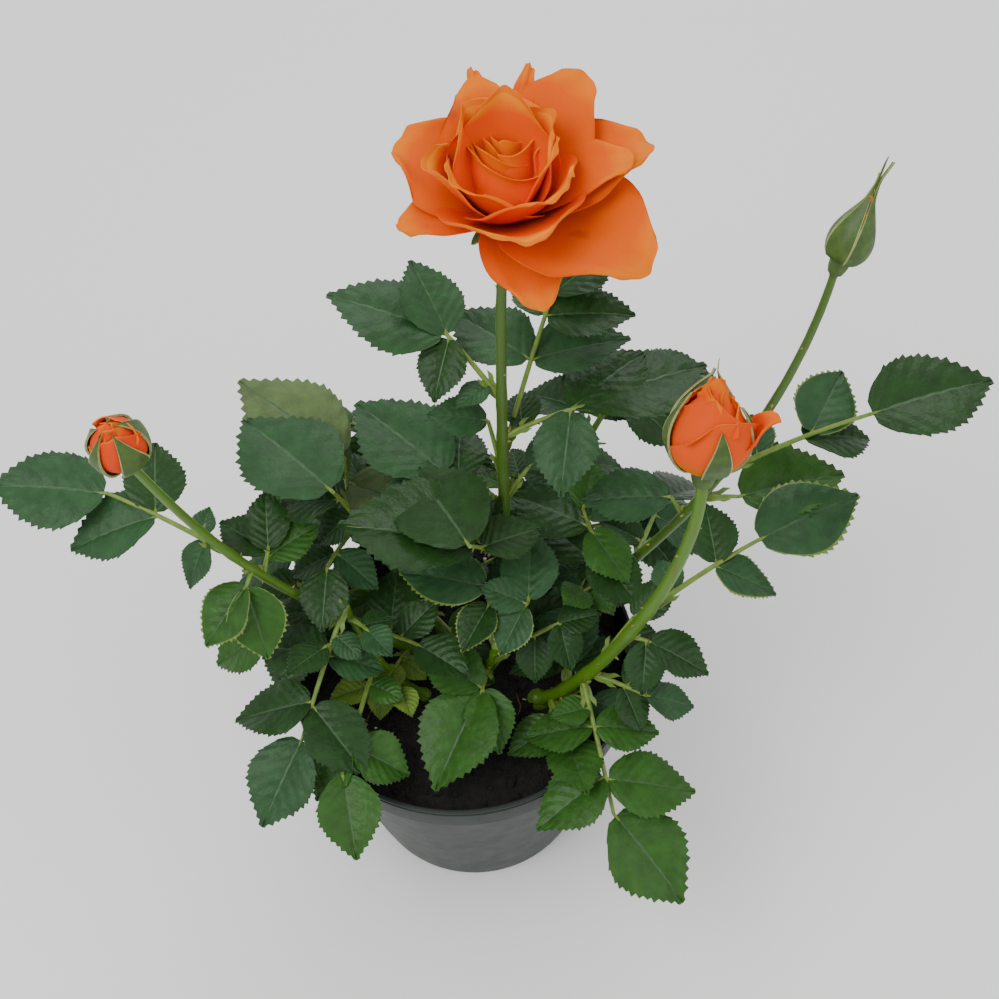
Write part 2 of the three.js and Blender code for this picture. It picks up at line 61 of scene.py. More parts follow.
# ---- Driving dimensions, as the solids have them --------------------------------------------

CLEARANCE = 0.3
RIM_RADIUS = 60
BASE_RADIUS = 42
POT_HEIGHT = 96
BAND_HEIGHT = 10.5
BAND_STEP = 2.4
POT_WALL = 1.4
POT_FLOOR = 1.8
FOOT_CHAMFER = 1.5
SOIL_TOP = 90

SOIL_LEVEL = SOIL_TOP + CLEARANCE
# Each cane: its foot, two lean points and tip on a cubic curve, then its radii at foot and tip.
CANES = {
    "main_cane": ((14, 8), (19, 16, 116), (19, 30, 236), (24, 33, 261), (2.1, 1.4)),
    "left_cane": ((-10, 0), (-44, 0, 139), (-64, 1, 141), (-83, -8, 224), (1.9, 1.3)),
    "front_cane": ((25, -17), (36, -21, 95), (70, -38, 182), (72, -25, 218), (2.3, 1.7)),
    "tall_cane": ((22, 10), (62, 16, 113), (98, -2, 199), (109, 10, 260), (1.9, 1.1)),
    "inner_left_stem": ((-6, 12), (-18, 20, 115), (-28, 26, 130), (-33, 30, 146), (1.7, 1.1)),
    "low_left_stem": ((-14, -12), (-24, -14, 105), (-33, -8, 122), (-35, -5, 142), (1.5, 1.0)),
    "centre_stem": ((8, -8), (8, -12, 102), (10, -14, 112), (12, -15, 124), (1.5, 1.0)),
    "back_left_stem": ((-4, 26), (-8, 42, 112), (-16, 54, 132), (-22, 60, 146), (1.6, 1.0)),
    "back_right_stem": ((22, 27), (30, 42, 112), (46, 54, 134), (56, 60, 150), (1.6, 1.0)),
}
FOOT_FLARE = 0.55
FOOT_FLARE_SHARE = 0.1

STALK_POINTS = 101
STALK_RADII = (0.95, 0.6)
STALK_ARCH = 0.08
CURL = 0.14
PAIR_SPLAY = 62
PAIR_HANG = 6
PAIR_SIZES = (0.86, 0.72)
PAIR_PLACES = (0.35, 0.81)
SPLAY_JITTER = 9
HANG_JITTER = 8
SIZE_JITTER = 0.07
ROLL_JITTER = 8
STALK_SWINGS = (0, 6, -6, 12, -12, 18, -18)
LEAFLET_SWINGS = (0, 8, -8, 16, -16, 24, -24, 32, -32)
# A leaflet's tip is that of the solid when it lies this near to one of its points.
SAME_PLACE = 0.15

# One row per leaf, as the solids have them: name, cane and place along it, [heading, rise, length]
# of its stalk and of its end leaflet, and its side leaflets: a number of even pairs, or
# [place on the stalk, heading, rise, length] of each.
LEAVES = [
  ["top_left", "main_cane", 0.61, [134, 34, 26], [160, 18, 38],
    [[0.97, 112, 28, 27], [0.95, 249, -25, 20]]],
  ["right_top", "main_cane", 0.54, [7, 18, 27], [22, 3, 43],
    [[0.84, 257, -24, 27], [0.84, 40, 9, 32]]],
  ["rear_top", "main_cane", 0.50, [56, 52, 54], [31, 20, 24],
    [[0.58, 137, 7, 32], [0.58, 7, 11, 31], [0.86, -7, 8, 27], [0.86, 110, 10, 18]]],
  ["rear_left", "main_cane", 0.46, [110, 60, 20], [178, 20, 19], 0],
  ["left_fan", "inner_left_stem", 0.98, [80, 78, 22], [141, 21, 44],
    [[0.55, 142, 8, 37], [0.5, -26, 0, 40]]],
  ["mid_back", "main_cane", 0.40, [165, 35, 22], [134, 12, 41],
    [[0.8, 190, 4, 26], [0.8, 85, 10, 24]]],
  ["mid_high", "main_cane", 0.32, [229, 48, 18], [129, 10, 36], [[0.9, 61, 18, 15]]],
  ["centre_left", "centre_stem", 0.98, [95, 58, 22], [164, 8, 29], [[0.7, 235, -10, 18]]],
  ["centre_up", "centre_stem", 0.86, [24, 57, 25], [83, 20, 25],
    [[0.96, 158, 8, 16], [0.92, 233, -24, 18]]],
  ["centre_right", "centre_stem", 0.62, [5, 38, 30], [-79, -30, 16],
    [[0.65, -96, -36, 16], [0.95, 10, 9, 15]]],
  ["front_mid", "centre_stem", 0.50, [-103, 25, 13], [-122, -12, 36],
    [[0.97, 143, 10, 24], [0.97, -79, -20, 22]]],
  ["right_centre", "tall_cane", 0.25, [145, 76, 37], [71, 24, 17],
    [[0.74, 149, 8, 29], [0.70, -59, -11, 22], [0.84, 35, 15, 18]]],
  ["behind_bud", "tall_cane", 0.48, [150, 60, 9], [174, 2, 28], 0],
  ["right_behind", "tall_cane", 0.53, [-6, 6, 12], [12, 3, 36], 0],
  ["far_right", "tall_cane", 0.60, [10, 16, 47], [12, 10, 40],
    [[0.60, 57, 13, 26], [0.54, 14, -16, 26]]],
  ["right_mid", "front_cane", 0.62, [27, 9, 40], [21, 10, 36],
    [[0.62, 92, 16, 21], [0.60, -21, -14, 21]]],
  ["right_low", "front_cane", 0.52, [-27, 10, 7], [-22, -20, 22], [[0.9, -100, -33, 17]]],
  ["right_under", "front_cane", 0.33, [-26, -6, 20], [-4, -20, 18],
    [[0.66, 40, 7, 18], [0.60, -65, -33, 17]]],
  ["lower_right", "front_cane", 0.30, [-81, -26, 45], [-49, -25, 37],
    [[0.74, -150, -6, 28], [0.76, -6, -11, 31], [0.38, 178, -6, 24], [0.38, -4, -6, 22]]],
  ["left_up", "left_cane", 0.60, [60, 55, 9], [92, 24, 20],
    [[0.7, 30, 14, 19], [0.92, 140, 11, 20]]],
  ["left_hang", "left_cane", 0.64, [250, -10, 6], [-75, -46, 25], [[0.9, -140, -29, 24]]],
  ["left_far", "left_cane", 0.72, [154, 17, 42], [172, 10, 36],
    [[0.58, 188, -8, 30], [0.60, 91, 18, 25], [0.2, -122, -32, 16]]],
  ["inner_hang", "inner_left_stem", 0.85, [-113, 19, 26], [-98, -24, 21], 1],
  ["inner_small", "inner_left_stem", 0.35, [-101, 19, 25], [82, 16, 22], 0],
  ["lower_left", "low_left_stem", 0.98, [-117, -33, 45], [-123, -22, 31],
    [[0.74, 180, -12, 28], [0.77, -52, -19, 28], [0.38, 164, -5, 26], [0.40, -10, -16, 19]]],
  ["front_left", "low_left_stem", 0.50, [-107, -3, 42], [-82, -18, 27], 1],
  ["left_back", "left_cane", 0.42, [108, -12, 36], [138, -28, 30], 1],
  ["left_low", "left_cane", 0.24, [168, -14, 34], [190, -30, 27], 1],
  ["back_left", "back_left_stem", 0.96, [140, -8, 14], [165, -30, 31], 1],
  ["back_mid", "back_left_stem", 0.72, [95, 4, 18], [105, -38, 31], 1],
  ["back_out", "back_left_stem", 0.50, [150, 5, 34], [157, -22, 33], 1],
  ["back_over", "back_left_stem", 0.28, [112, -5, 46], [118, -36, 32], 1],
  ["rear_right", "back_right_stem", 0.98, [40, 4, 20], [22, -20, 33], 1],
  ["rear_high", "back_right_stem", 0.78, [95, 26, 22], [82, -12, 31], 1],
  ["rear_low", "back_right_stem", 0.46, [70, -12, 28], [84, -40, 30], 1],
  ["rear_over", "back_right_stem", 0.25, [10, -4, 46], [18, -32, 30], 1],
  ["side_right", "tall_cane", 0.34, [66, -16, 34], [44, -30, 31], 1],
  ["left_mid", "inner_left_stem", 0.72, [-112, 71, 50], [131, -2, 44],
    [[0.8, 165, -16, 24], [0.45, -159, -25, 16]]],
  ["centre_big", "main_cane", 0.27, [-112, 60, 55], [115, -1, 40],
    [[0.75, 167, 14, 44], [0.7, 22, -2, 21]]],
  ["inner_right", "tall_cane", 0.16, [-18, 80, 33], [-56, 8, 24],
    [[0.8, 132, 15, 28], [0.55, -169, 13, 14]]],
  ["low_right", "front_cane", 0.2, [77, 8, 14], [-168, -3, 22],
    [[0.55, 90, 9, 30], [0.5, 26, 9, 21]]],
]

# The green of each leaf that has one of its own: the others take a seeded one.
LEAF_TINTS = {
    "left_fan": "pale", "top_left": "dark", "right_top": "dark", "rear_top": "dark",
    "mid_back": "blue", "centre_up": "blue", "right_mid": "blue", "far_right": "blue",
    "left_far": "blue", "lower_left": "blue", "lower_right": "bright", "behind_bud": "blue",
    "front_mid": "bright", "centre_left": "blue", "left_hang": "bright", "left_mid": "dark",
    "centre_big": "dark", "front_left": "bright",
}
TINTS = ("dark", "blue", "bright", "pale", "young")
TINT_ROUGHNESS = (0.4, 0.46, 0.42, 0.55, 0.5)
SHARED_TINTS = ("dark", "blue", "bright", "dark", "dark")
# The first two greens now and then change places within a leaf.
MIXING_TINTS = 2
MIXING_CHANCE = 0.3
YELLOW_RIMS = ("right_mid", "left_far", "centre_up", "left_hang", "far_right", "centre_left")
YELLOW_CHANCE = 0.35

# Young shoots low in the crown, finer than the solids carry: cane and place along it, [heading,
# rise, length] of the stalk, length of the end leaflet, and its green.
SHOOTS = (
    ("front_cane", 0.10, (-78, 14, 20), 24, "bright"),
    ("front_cane", 0.07, (-24, 12, 16), 20, "dark"),
    ("centre_stem", 0.12, (-58, 14, 17), 21, "bright"),
    ("front_cane", 0.16, (-120, 10, 14), 18, "dark"),
    ("low_left_stem", 0.20, (-165, 24, 13), 14, "young"),
    ("left_cane", 0.08, (-112, 32, 12), 13, "young"),
    ("inner_left_stem", 0.14, (176, 22, 18), 15, "young"),
    ("low_left_stem", 0.34, (-72, 30, 11), 12, "young"),
    ("inner_left_stem", 0.30, (-150, 26, 14), 16, "bright"),
)

# The open rose's petals: heading round the bloom's axis, lean at root and tip, length, width, cup.
OUTER_PETALS = (
    (-41, 54, 100, 48, 39, 0.2), (5, 46, 80, 43, 30, 0.2), (46, 42, 64, 42, 29, 0.2),
    (102, 36, 58, 36, 27, 0.2), (151, 44, 80, 35, 34, 0.2), (203, 50, 84, 32, 17, 0.2),
    (-77, 62, 116, 34, 23, 0.2), (-6, 46, 62, 39, 22, 0.35), (100, 44, 62, 39.5, 8, 0.5),
    (73, 44, 60, 40, 7, 0.5),
)
CUP_PETALS = (
    (-84, 60, 38, 42, 38, 0.5), (-55, 54, 20, 35, 34, 0.55), (186, 48, 20, 31, 26, 0.5),
    (78, 28, -4, 36, 30, 0.5), (-142, 48, 10, 29, 34, 0.6), (124, 34, 2, 33, 26, 0.55),
    (26, 38, 8, 32, 28, 0.5), (-6, 42, 6, 30, 26, 0.55),
)
# A wrap of the heart: heading of its middle, how far round it goes (degrees), its radius and top.
# The heart leans back by HEART_LEAN at its top.
HEART_LEAN = (1, 9.5)
HEART_WRAPS = (
    (40, 320, 1.4, 28.4), (190, 250, 2.4, 28.8), (150, 170, 3.3, 29.6), (320, 200, 4.0, 28.2),
    (205, 150, 4.8, 29.0), (84, 170, 5.4, 31.2), (165, 130, 6.1, 29.6), (232, 150, 6.9, 28.2),
    (330, 150, 7.6, 29.0), (190, 120, 8.3, 29.4), (120, 100, 8.9, 31.2), (250, 150, 9.6, 26.0),
    (20, 120, 10.4, 30.2),
)
# Every bloom has its cane, the way it points, its hip's radius and height, and its redness from 0
# to 1. The open rose's sepals are rows like its petals'. A bud has its egg (radius, height, share
# of the height where it is widest, and how sharply it closes above that), the radius its inner
# petals keep at the tip, its swirl in degrees, its wraps from the inside out and its sepals, both
# as [heading, how far round, reach as a share of the egg's height], its flares, which are rows like
# the open rose's petals, and a taper: the smaller it is, the later the sepals narrow.
BLOOMS = {
    "open_rose": {
        "cane": "main_cane", "axis": (0, -2, 30), "hip": (3.2, 7), "redness": 0.0,
        "sepals": [(100, 80, 100, 22, 7, 0.2), (40, 80, 120, 20, 7, 0.2),
                   (-30, 85, 130, 18, 7, 0.2), (-110, 82, 100, 12, 7, 0.2),
                   (205, 84, 130, 10, 6, 0.2)],
    },
    "front_bud": {
        "cane": "front_cane", "axis": (3, 11, 30), "hip": (3.6, 7), "redness": 0.5,
        "egg": (11.0, 27.4, 0.385, 1.08), "tip": 2.6, "swirl": 58, "taper": 0.8,
        "wraps": [(80, 300, 1.0), (200, 250, 1.05), (320, 220, 1.02), (150, 190, 0.97),
                  (20, 180, 0.92), (-170, 170, 0.86), (-60, 150, 0.80), (-125, 150, 0.70)],
        "flares": [(-6, 64, 12, 24, 14, 0.5)],
        "sepals": [(-84, 56, 0.66), (186, 42, 0.9), (-12, 40, 0.8), (52, 46, 1.25),
                   (124, 46, 1.15)],
    },
    "left_bud": {
        "cane": "left_cane", "axis": (-2, -5, 30), "hip": (3, 6), "redness": 0.85,
        "egg": (7.7, 18, 0.46, 0.72), "tip": 1.8, "swirl": 44, "taper": 0.55,
        "wraps": [(120, 300, 1.0), (240, 250, 1.03), (0, 220, 1.0), (110, 200, 0.96),
                  (-120, 200, 0.92), (20, 190, 0.88)],
        "flares": [],
        "sepals": [(-52, 80, 1.0), (20, 76, 1.0), (92, 66, 1.0), (162, 60, 0.96), (228, 52, 1.0)],
    },
    "tall_bud": {
        "cane": "tall_cane", "axis": (11, 7, 33), "hip": (2.8, 6), "redness": 0.0,
        "egg": (5.4, 21, 0.31, 1.2), "tip": 0.35, "swirl": 20, "taper": 0.36,
        "wraps": [(60, 300, 0.98), (200, 240, 0.96), (330, 230, 0.94)],
        "flares": [],
        "sepals": [(-68, 84, 1.3), (4, 84, 1.44), (76, 82, 1.36), (148, 82, 1.26),
                   (220, 84, 1.52)],
    },
}

# ---- Camera and studio ----------------------------------------------------------------------

CAMERA_AIM = (17, 25, 150)
CAMERA_DISTANCE = 492
CAMERA_PITCH = 54.1
CAMERA_YAW = 0.3
CAMERA_ROLL = -4.2
CAMERA_LENS = 54.05
SENSOR = 36
CLIP_START = 0.01
# In metres: half the floor's side, what the lamps aim at, and name, place, size and share of the
# key's power of each lamp.
FLOOR_HALF = 6
LAMP_AIM = Vector((0, 0, 0.15))
LAMPS = (
    ("key", (-0.5, -0.35, 1.15), 0.7, 1.0),
    ("fill", (0.9, -0.5, 0.7), 0.8, 0.35),
    ("rim", (0.2, 0.9, 0.9), 0.6, 0.45),
)


# ---- Colours and settings -------------------------------------------------------------------

def linear(hex_colour):
    """An sRGB hex colour as linear red, green and blue."""
    parts = [int(hex_colour[i:i + 2], 16) / 255 for i in (1, 3, 5)]
    return tuple(c / 12.92 if c <= 0.04045 else ((c + 0.055) / 1.055) ** 2.4 for c in parts)


STUDIO_WHITE = linear("#f7f8fa")
PERLITE = linear("#d9d6cc")
PEAT_FIBRE = linear("#6b5230")
AXIL_BUD = linear("#69742f")
LEAF_VEIN = linear("#30532a")
STIPULE = linear("#627c30")
STALK_PRICKLE = linear("#757a38")
BRUISE = linear("#a8452c")


def colour_setting(name, description, hex_colour):
    return bpy.props.FloatVectorProperty(name=name, description=description, subtype="COLOR",
                                         size=3, min=0, max=1, default=linear(hex_colour))


def length_setting(name, description, millimetres):
    return bpy.props.FloatProperty(name=name, description=description, unit="LENGTH", min=0,
                                   default=millimetres * MM)


def count_setting(name, description, default, least=0):
    return bpy.props.IntProperty(name=name, description=description, default=default, min=least)


class RosePotSettings(bpy.types.PropertyGroup):
    wall: colour_setting("Wall", "Colour of the moulded pot", "#292f2c")
    peat: colour_setting("Peat", "Colour of the moist peat", "#120d0a")
    crumbs: count_setting("Crumbs", "Peat crumbs on the surface", 420)
    perlite: count_setting("Perlite", "Pale perlite grains", 34)


class RoseCaneSettings(bpy.types.PropertyGroup):
    bark: colour_setting("Bark", "Green of the young bark", "#4a7010")
    blush: colour_setting("Blush", "Red-brown that weather gives the bark", "#5f4a1c")
    prickle: colour_setting("Prickle", "Colour of the prickles", "#86803f")
    prickles: count_setting("Prickles", "Prickles on each main cane", 9)


class RoseLeafSettings(bpy.types.PropertyGroup):
    dark: colour_setting("Dark leaf", "Upper side of an old leaf", "#203f18")
    blue: colour_setting("Blue leaf", "Upper side of a leaf with a bluish bloom", "#2b4d2b")
    bright: colour_setting("Bright leaf", "Upper side of a young leaf", "#2f561c")
    pale: colour_setting("Pale leaf", "Side of a leaf turned over", "#55693d")
    young: colour_setting("Young leaf", "Leaflets of a young shoot", "#5f7a2a")
    under: colour_setting("Underside", "Lower side of every leaf", "#566b43")
    rim: colour_setting("Yellowed rim", "Teeth that have turned yellow", "#647a30")
    stalk: colour_setting("Stalk", "Leaf stalks", "#66802a")
    teeth: count_setting("Teeth", "Teeth on each side of a leaflet", 16, 3)
    blade: length_setting("Blade", "Thickness of a leaflet", 0.32)


class RoseBloomSettings(bpy.types.PropertyGroup):
    petal: colour_setting("Petal", "Body of an outer petal", "#dc5a00")
    # Painted light: the inner petals' body is brighter than the outer petals' to make up for the
    # shade inside the cup.
    inner: colour_setting("Inner petal", "Body of a petal inside the bloom", "#ea5a00")
    blush: colour_setting("Bud petal", "Salmon red that a bud's petals lean to", "#d8401c")
    # Painted shade: the deep colour at the petal roots stands in for the shade low inside the
    # bloom.
    root_shade: colour_setting("Petal root", "Deep colour low inside the bloom", "#dc3000")
    # A painted highlight along the petal rims and tips; it is also the golden colour at the root of
    # the petals' backs.
    gold_and_rim_highlight: colour_setting("Petal rim", "Golden rim of a petal", "#ee8c08")
    sepal: colour_setting("Sepal", "Green of the sepals", "#3a5510")
    sepal_rim: colour_setting("Sepal rim", "Pale downy rim of the sepals", "#8f9a5e")
    blade: length_setting("Petal thickness", "Thickness of a petal", 0.45)


class RoseStageSettings(bpy.types.PropertyGroup):
    floor: colour_setting("Floor", "Plain pale floor", "#f4f4f2")
    key: bpy.props.FloatProperty(name="Key light", description="Power of the key light",
                                 subtype="POWER", default=9.0, min=0)
    sky: bpy.props.FloatProperty(name="Sky", description="Strength of the pale surround",
                                 default=0.85, min=0)


# ---- Curves and the rule that grows the leaves ----------------------------------------------

Leaflet = namedtuple("Leaflet", "root along up length")

RUN_STRIDE = 7919
RUN_START = 17
RUN_FACTOR = 16807
RUN_LIMIT = 2147483647
# Where the runs of numbers for each kind of piece start.
YOUNG_SEED = 300
PEAT_SEED = 501
PRICKLE_SEED = 700
LEAF_SEED = 900
BLOOM_SEED = 1300
INNER_SEED = 4242


def seeded_run(seed):
    """The same short run of numbers from 0 to 1 for the same seed."""
    state = (seed * RUN_STRIDE + RUN_START) % RUN_LIMIT
    while True:
        state = (state * RUN_FACTOR) % RUN_LIMIT
        yield state / RUN_LIMIT


def mix(a, b, share):
    return a + (b - a) * share


def either_way(run):
    """The run's next number, from -1 to 1."""
    return 2 * next(run) - 1


def drawn(run, least, more):
    """A measure that the run's next number picks: the least, and up to so much more."""
    return least + more * next(run)


def smooth(low, high, value):
    share = np.clip((value - low) / (high - low), 0, 1)
    return share * share * (3 - 2 * share)


def direction(heading, rise):
    level = math.cos(math.radians(rise))
    turn = math.radians(heading)
    return Vector((level * math.cos(turn), level * math.sin(turn), math.sin(math.radians(rise))))


def cane_point(name, share):
    foot, first, second, tip, _ = CANES[name]
    rest = 1 - share
    return (Vector((*foot, SOIL_LEVEL)) * rest ** 3 + Vector(first) * 3 * rest * rest * share
            + Vector(second) * 3 * rest * share * share + Vector(tip) * share ** 3)


def cane_radius(name, share):
    radii = CANES[name][4]
    flare = FOOT_FLARE * max(0, 1 - share / FOOT_FLARE_SHARE) ** 2
    return mix(radii[0], radii[1], share) * (1 + flare)


def stalk_points(start, stalk, swing=0):
    heading, rise, reach = stalk
    end = start + direction(heading + swing, rise) * reach
    middle = start.lerp(end, 0.5) + UP * STALK_ARCH * reach
    shares = [i / (STALK_POINTS - 1) for i in range(STALK_POINTS)]
    return [start * (1 - s) ** 2 + middle * 2 * s * (1 - s) + end * s * s for s in shares]


def stalk_at(points, share):
    at = share * (len(points) - 1)
    low = min(int(at), len(points) - 2)
    return points[low].lerp(points[low + 1], at - low)


def even_pairs(count, stalk, blade, run):
    heading, rise, length = blade
    rows = []
    for pair in range(count):
        for hand in (1, -1):
            rows.append((
                1 - PAIR_PLACES[pair] * length / stalk[2],
                heading + hand * (PAIR_SPLAY + SPLAY_JITTER * either_way(run)),
                rise / 2 - PAIR_HANG + HANG_JITTER * either_way(run),
                length * PAIR_SIZES[pair] * (1 + SIZE_JITTER * either_way(run)),
            ))
    return rows


def blade_frame(heading, rise, roll):
    along = direction(heading, rise)
    up = along.cross(direction(heading + 90, 0)).normalized()
    up.rotate(Quaternion(along, math.radians(roll)))
    return along, up


def swung(along, up, degrees):
    turn = Quaternion(up.cross(along), -math.radians(degrees))
    return turn @ along, turn @ up


def point_tree(points):
    """A tree that finds the nearest of the points."""
    tree = kdtree.KDTree(len(points))
    for index, point in enumerate(points):
        tree.insert(point, index)
    tree.balance()
    return tree


def grow_leaf(row, seed):
    """One leaf's stalk and leaflets, each swung as the points of its solid tell."""
    name, cane, place, stalk, blade, side = row
    run = seeded_run(seed)
    pairs = side if isinstance(side, list) else even_pairs(side, stalk, blade, run)
    plans = [(1, *blade), *pairs]
    rolls = [ROLL_JITTER * either_way(run) for _ in plans]
    solid = point_tree([point.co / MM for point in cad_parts[f"leaf_{name}"].data.vertices])
    start = cane_point(cane, place)
    best = []
    for swing in STALK_SWINGS:
        points = stalk_points(start, stalk, swing)
        grown = []
        for (at, heading, rise, length), roll in zip(plans, rolls):
            root = stalk_at(points, max(0, at))
            level = blade_frame(heading, rise, roll)
            for turn in LEAFLET_SWINGS:
                along, up = swung(*level, turn)
                tip = root + along * length - up * CURL * length
                if solid.find(tip)[2] < SAME_PLACE:
                    grown.append(Leaflet(root, along, up, length))
                    break
        if len(grown) > len(best) or swing == STALK_SWINGS[0]:
            best = grown
            stalk_line = points
        if len(best) == len(plans):
            break
    return {"name": name, "cane": cane, "place": place, "stalk": stalk_line, "leaflets": best}


# ---- Mesh helpers ---------------------------------------------------------------------------

WELD = 1e-4
BLADE_UV = "blade"
# Which part of a flat blade a face belongs to.
BLADE, RIM, UNDER, VEIN = 0, 1, 2, 3
# A face lies on the lower skin when its middle is deeper than this share of the thickness.
LOWER_SKIN = 0.75


def set_at(place, x_axis, y_axis, z_axis):
    """The matrix that sets a shape at a place, with its axes along these."""
    return Matrix.Translation(place) @ Matrix((x_axis, y_axis, z_axis)).transposed().to_4x4()


def paint(bm, verts, material):
    """Gives the faces on these vertices their finish and turns them outwards."""
    faces = list({face for vert in verts for face in vert.link_faces})
    for face in faces:
        face.material_index = material
    bmesh.ops.recalc_face_normals(bm, faces=faces)


def tube(bm, points, radii, sides, material=0):
    """A limb through points, one ring a point, closed at both ends."""
    rings = []
    lengthways = abs((points[1] - points[0]).normalized().x) >= 0.9
    side = Vector((0, 1, 0)) if lengthways else Vector((1, 0, 0))
    for index, place in enumerate(points):
        low = max(index - 1, 0)
        high = min(index + 1, len(points) - 1)
        along = (points[high] - points[low]).normalized()
        side = (side - along * side.dot(along)).normalized()
        ring_frame = set_at(place, side, along.cross(side), along)
        rings.append(ring_frame @ Matrix.Diagonal((radii[index], radii[index], 1, 1)))
    made = bmesh.ops.create_circle(bm, segments=sides, radius=1, matrix=rings[0])["verts"]
    every = list(made)
    first = edges = list({edge for vert in made for edge in vert.link_edges})
    for before, after in zip(rings, rings[1:]):
        grown = bmesh.ops.extrude_edge_only(bm, edges=edges)["geom"]
        made = [item for item in grown if isinstance(item, bmesh.types.BMVert)]
        edges = [item for item in grown if isinstance(item, bmesh.types.BMEdge)
                 and all(vert in made for vert in item.verts)]
        bmesh.ops.transform(bm, matrix=after @ before.inverted(), verts=made)
        every.extend(made)
    bmesh.ops.holes_fill(bm, edges=first + edges, sides=0)
    paint(bm, every, material)
    return every


def lathe(bm, profile, steps, material=0):
    """A round body from [radius, height] points, closed at the poles."""
    verts = [bm.verts.new((radius, 0, height)) for radius, height in profile]
    edges = [bm.edges.new(pair) for pair in zip(verts, verts[1:])]
    before = set(bm.verts) - set(verts)
    bmesh.ops.spin(bm, geom=verts + edges, cent=(0, 0, 0), axis=(0, 0, 1), angle=2 * math.pi,
                   steps=steps, use_merge=True)
    bmesh.ops.remove_doubles(bm, verts=[vert for vert in bm.verts if vert not in before],
                             dist=WELD)
    made = [vert for vert in bm.verts if vert not in before]
    paint(bm, made, material)
    return made


def mesh_of(bm, name):
    """Ends a bmesh as a mesh of that name."""
    mesh = bpy.data.meshes.new(name)
    bm.to_mesh(mesh)
    bm.free()
    return mesh


def add_object(name, data):
    made = bpy.data.objects.new(name, data)
    bpy.context.scene.collection.objects.link(made)
    return made


def blade_sheet(name, marks, rows, thickness, zone):
    """A flat closed blade, from 0 to 1 along and with a line at each mark on both hands."""
    bm = bmesh.new()
    uv_layer = bm.loops.layers.uv.new(BLADE_UV)
    steps = np.linspace(0, 1, len(marks))
    bmesh.ops.create_grid(bm, x_segments=2 * (len(marks) - 1), y_segments=rows, size=1)
    for vert in bm.verts:
        vert.co.x = math.copysign(np.interp(abs(vert.co.x), steps, marks), vert.co.x)
        vert.co.y = (vert.co.y + 1) / 2
    for face in bm.faces:
        centre = face.calc_center_median()
        face.material_index = zone(abs(centre.x), centre.y)
    bmesh.ops.solidify(bm, geom=list(bm.faces), thickness=-thickness)
    high = max(vert.co.z for vert in bm.verts)
    for vert in bm.verts:
        vert.co.z -= high
    for face in bm.faces:
        if face.calc_center_median().z < -LOWER_SKIN * thickness:
            face.material_index = UNDER
        for loop in face.loops:
            loop[uv_layer].uv = (loop.vert.co.x / 2 + 0.5, loop.vert.co.y)
    bmesh.ops.recalc_face_normals(bm, faces=bm.faces)
    return mesh_of(bm, name)


def sheet_points(mesh):
    """Across, along and depth of every point of a flat blade."""
    flat = np.zeros(len(mesh.vertices) * 3)
    mesh.vertices.foreach_get("co", flat)
    return flat.reshape(-1, 3).T


def spread_out(start, *ways):
    """Points that lie off the start by each distance along its own axis."""
    places = np.array(start)
    for distance, axis in ways:
        places = places + distance[:, None] * np.array(axis)
    return places


def spread_round(wall, turn, height, shift=(0, 0)):
    """Points at a distance from the bloom's axis, a turn round it and a height on it."""
    return np.stack([wall * np.cos(turn) + shift[0], wall * np.sin(turn) + shift[1], height],
                    axis=1)


def add_shaped(bm, sheet, places, shift=None):
    """Adds a copy of a flat blade to a piece, with its points moved to their places."""
    mesh = sheet.copy()
    mesh.vertices.foreach_set("co", np.ascontiguousarray(places).ravel())
    if shift:
        for face in mesh.polygons:
            face.material_index = shift.get(face.material_index, face.material_index)
    bm.from_mesh(mesh)
    bpy.data.meshes.remove(mesh)


def finish_piece(bm, name, nodes, materials, crease=50):
    """Turns a piece to metres, gives it its finishes and sets it in the frame."""
    bmesh.ops.scale(bm, vec=(MM, MM, MM), verts=bm.verts)
    mesh = mesh_of(bm, name)
    mesh.shade_smooth()
    mesh.set_sharp_from_angle(angle=math.radians(crease))
    for material in materials:
        mesh.materials.append(material)
    piece = add_object(name, mesh)
    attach(piece, "root")
    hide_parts(*nodes)


# ---- Materials ------------------------------------------------------------------------------

VEIN_PAIRS = 7
VEIN_SLANT = 2.2


def add_node(tree, kind, values=None, links=None, stops=None, **settings):
    """Adds a node with its settings, socket values, links and [place, colour] stops."""
    made = tree.nodes.new(kind)
    for name, value in settings.items():
        setattr(made, name, value)
    for socket, value in (values or {}).items():
        made.inputs[socket].default_value = value
    for socket, source in (links or {}).items():
        tree.links.new(source, made.inputs[socket])
    if stops:
        first, *between, last = stops
        elements = made.color_ramp.elements
        for element, (place, colour) in zip(elements, (first, last)):
            element.position, element.color = place, (*colour, 1)
        for place, colour in between:
            elements.new(place).color = (*colour, 1)
    return made


def new_finish(name, values):
    """A named material with its surface's fixed values, its node tree and its surface node."""
    material = bpy.data.materials.get(name) or bpy.data.materials.new(name)
    material.use_nodes = True
    tree = material.node_tree
    tree.nodes.clear()
    surface = add_node(tree, "ShaderNodeBsdfPrincipled", values)
    add_node(tree, "ShaderNodeOutputMaterial", links={"Surface": surface.outputs[0]})
    return material, tree, surface


def shade(colour, factor):
    return tuple(min(1, c * factor) for c in colour)


def mottle(tree, spot_mm, detail=4.0):
    """Cloudy spots of a real size, on the object's own coordinates."""
    where = add_node(tree, "ShaderNodeTexCoord")
    scale = 1 / (spot_mm * MM)
    spots = add_node(tree, "ShaderNodeTexNoise", {"Scale": scale, "Detail": detail},
                     {"Vector": where.outputs["Object"]})
    return spots.outputs["Fac"]


def streaks(tree, where, stretch, scale, detail):
    """Noise drawn out along one way of the coordinates."""
    stretched = add_node(tree, "ShaderNodeMapping", {"Scale": stretch}, {"Vector": where})
    lines = add_node(tree, "ShaderNodeTexNoise", {"Scale": scale, "Detail": detail},
                     {"Vector": stretched.outputs[0]})
    return lines.outputs["Fac"]


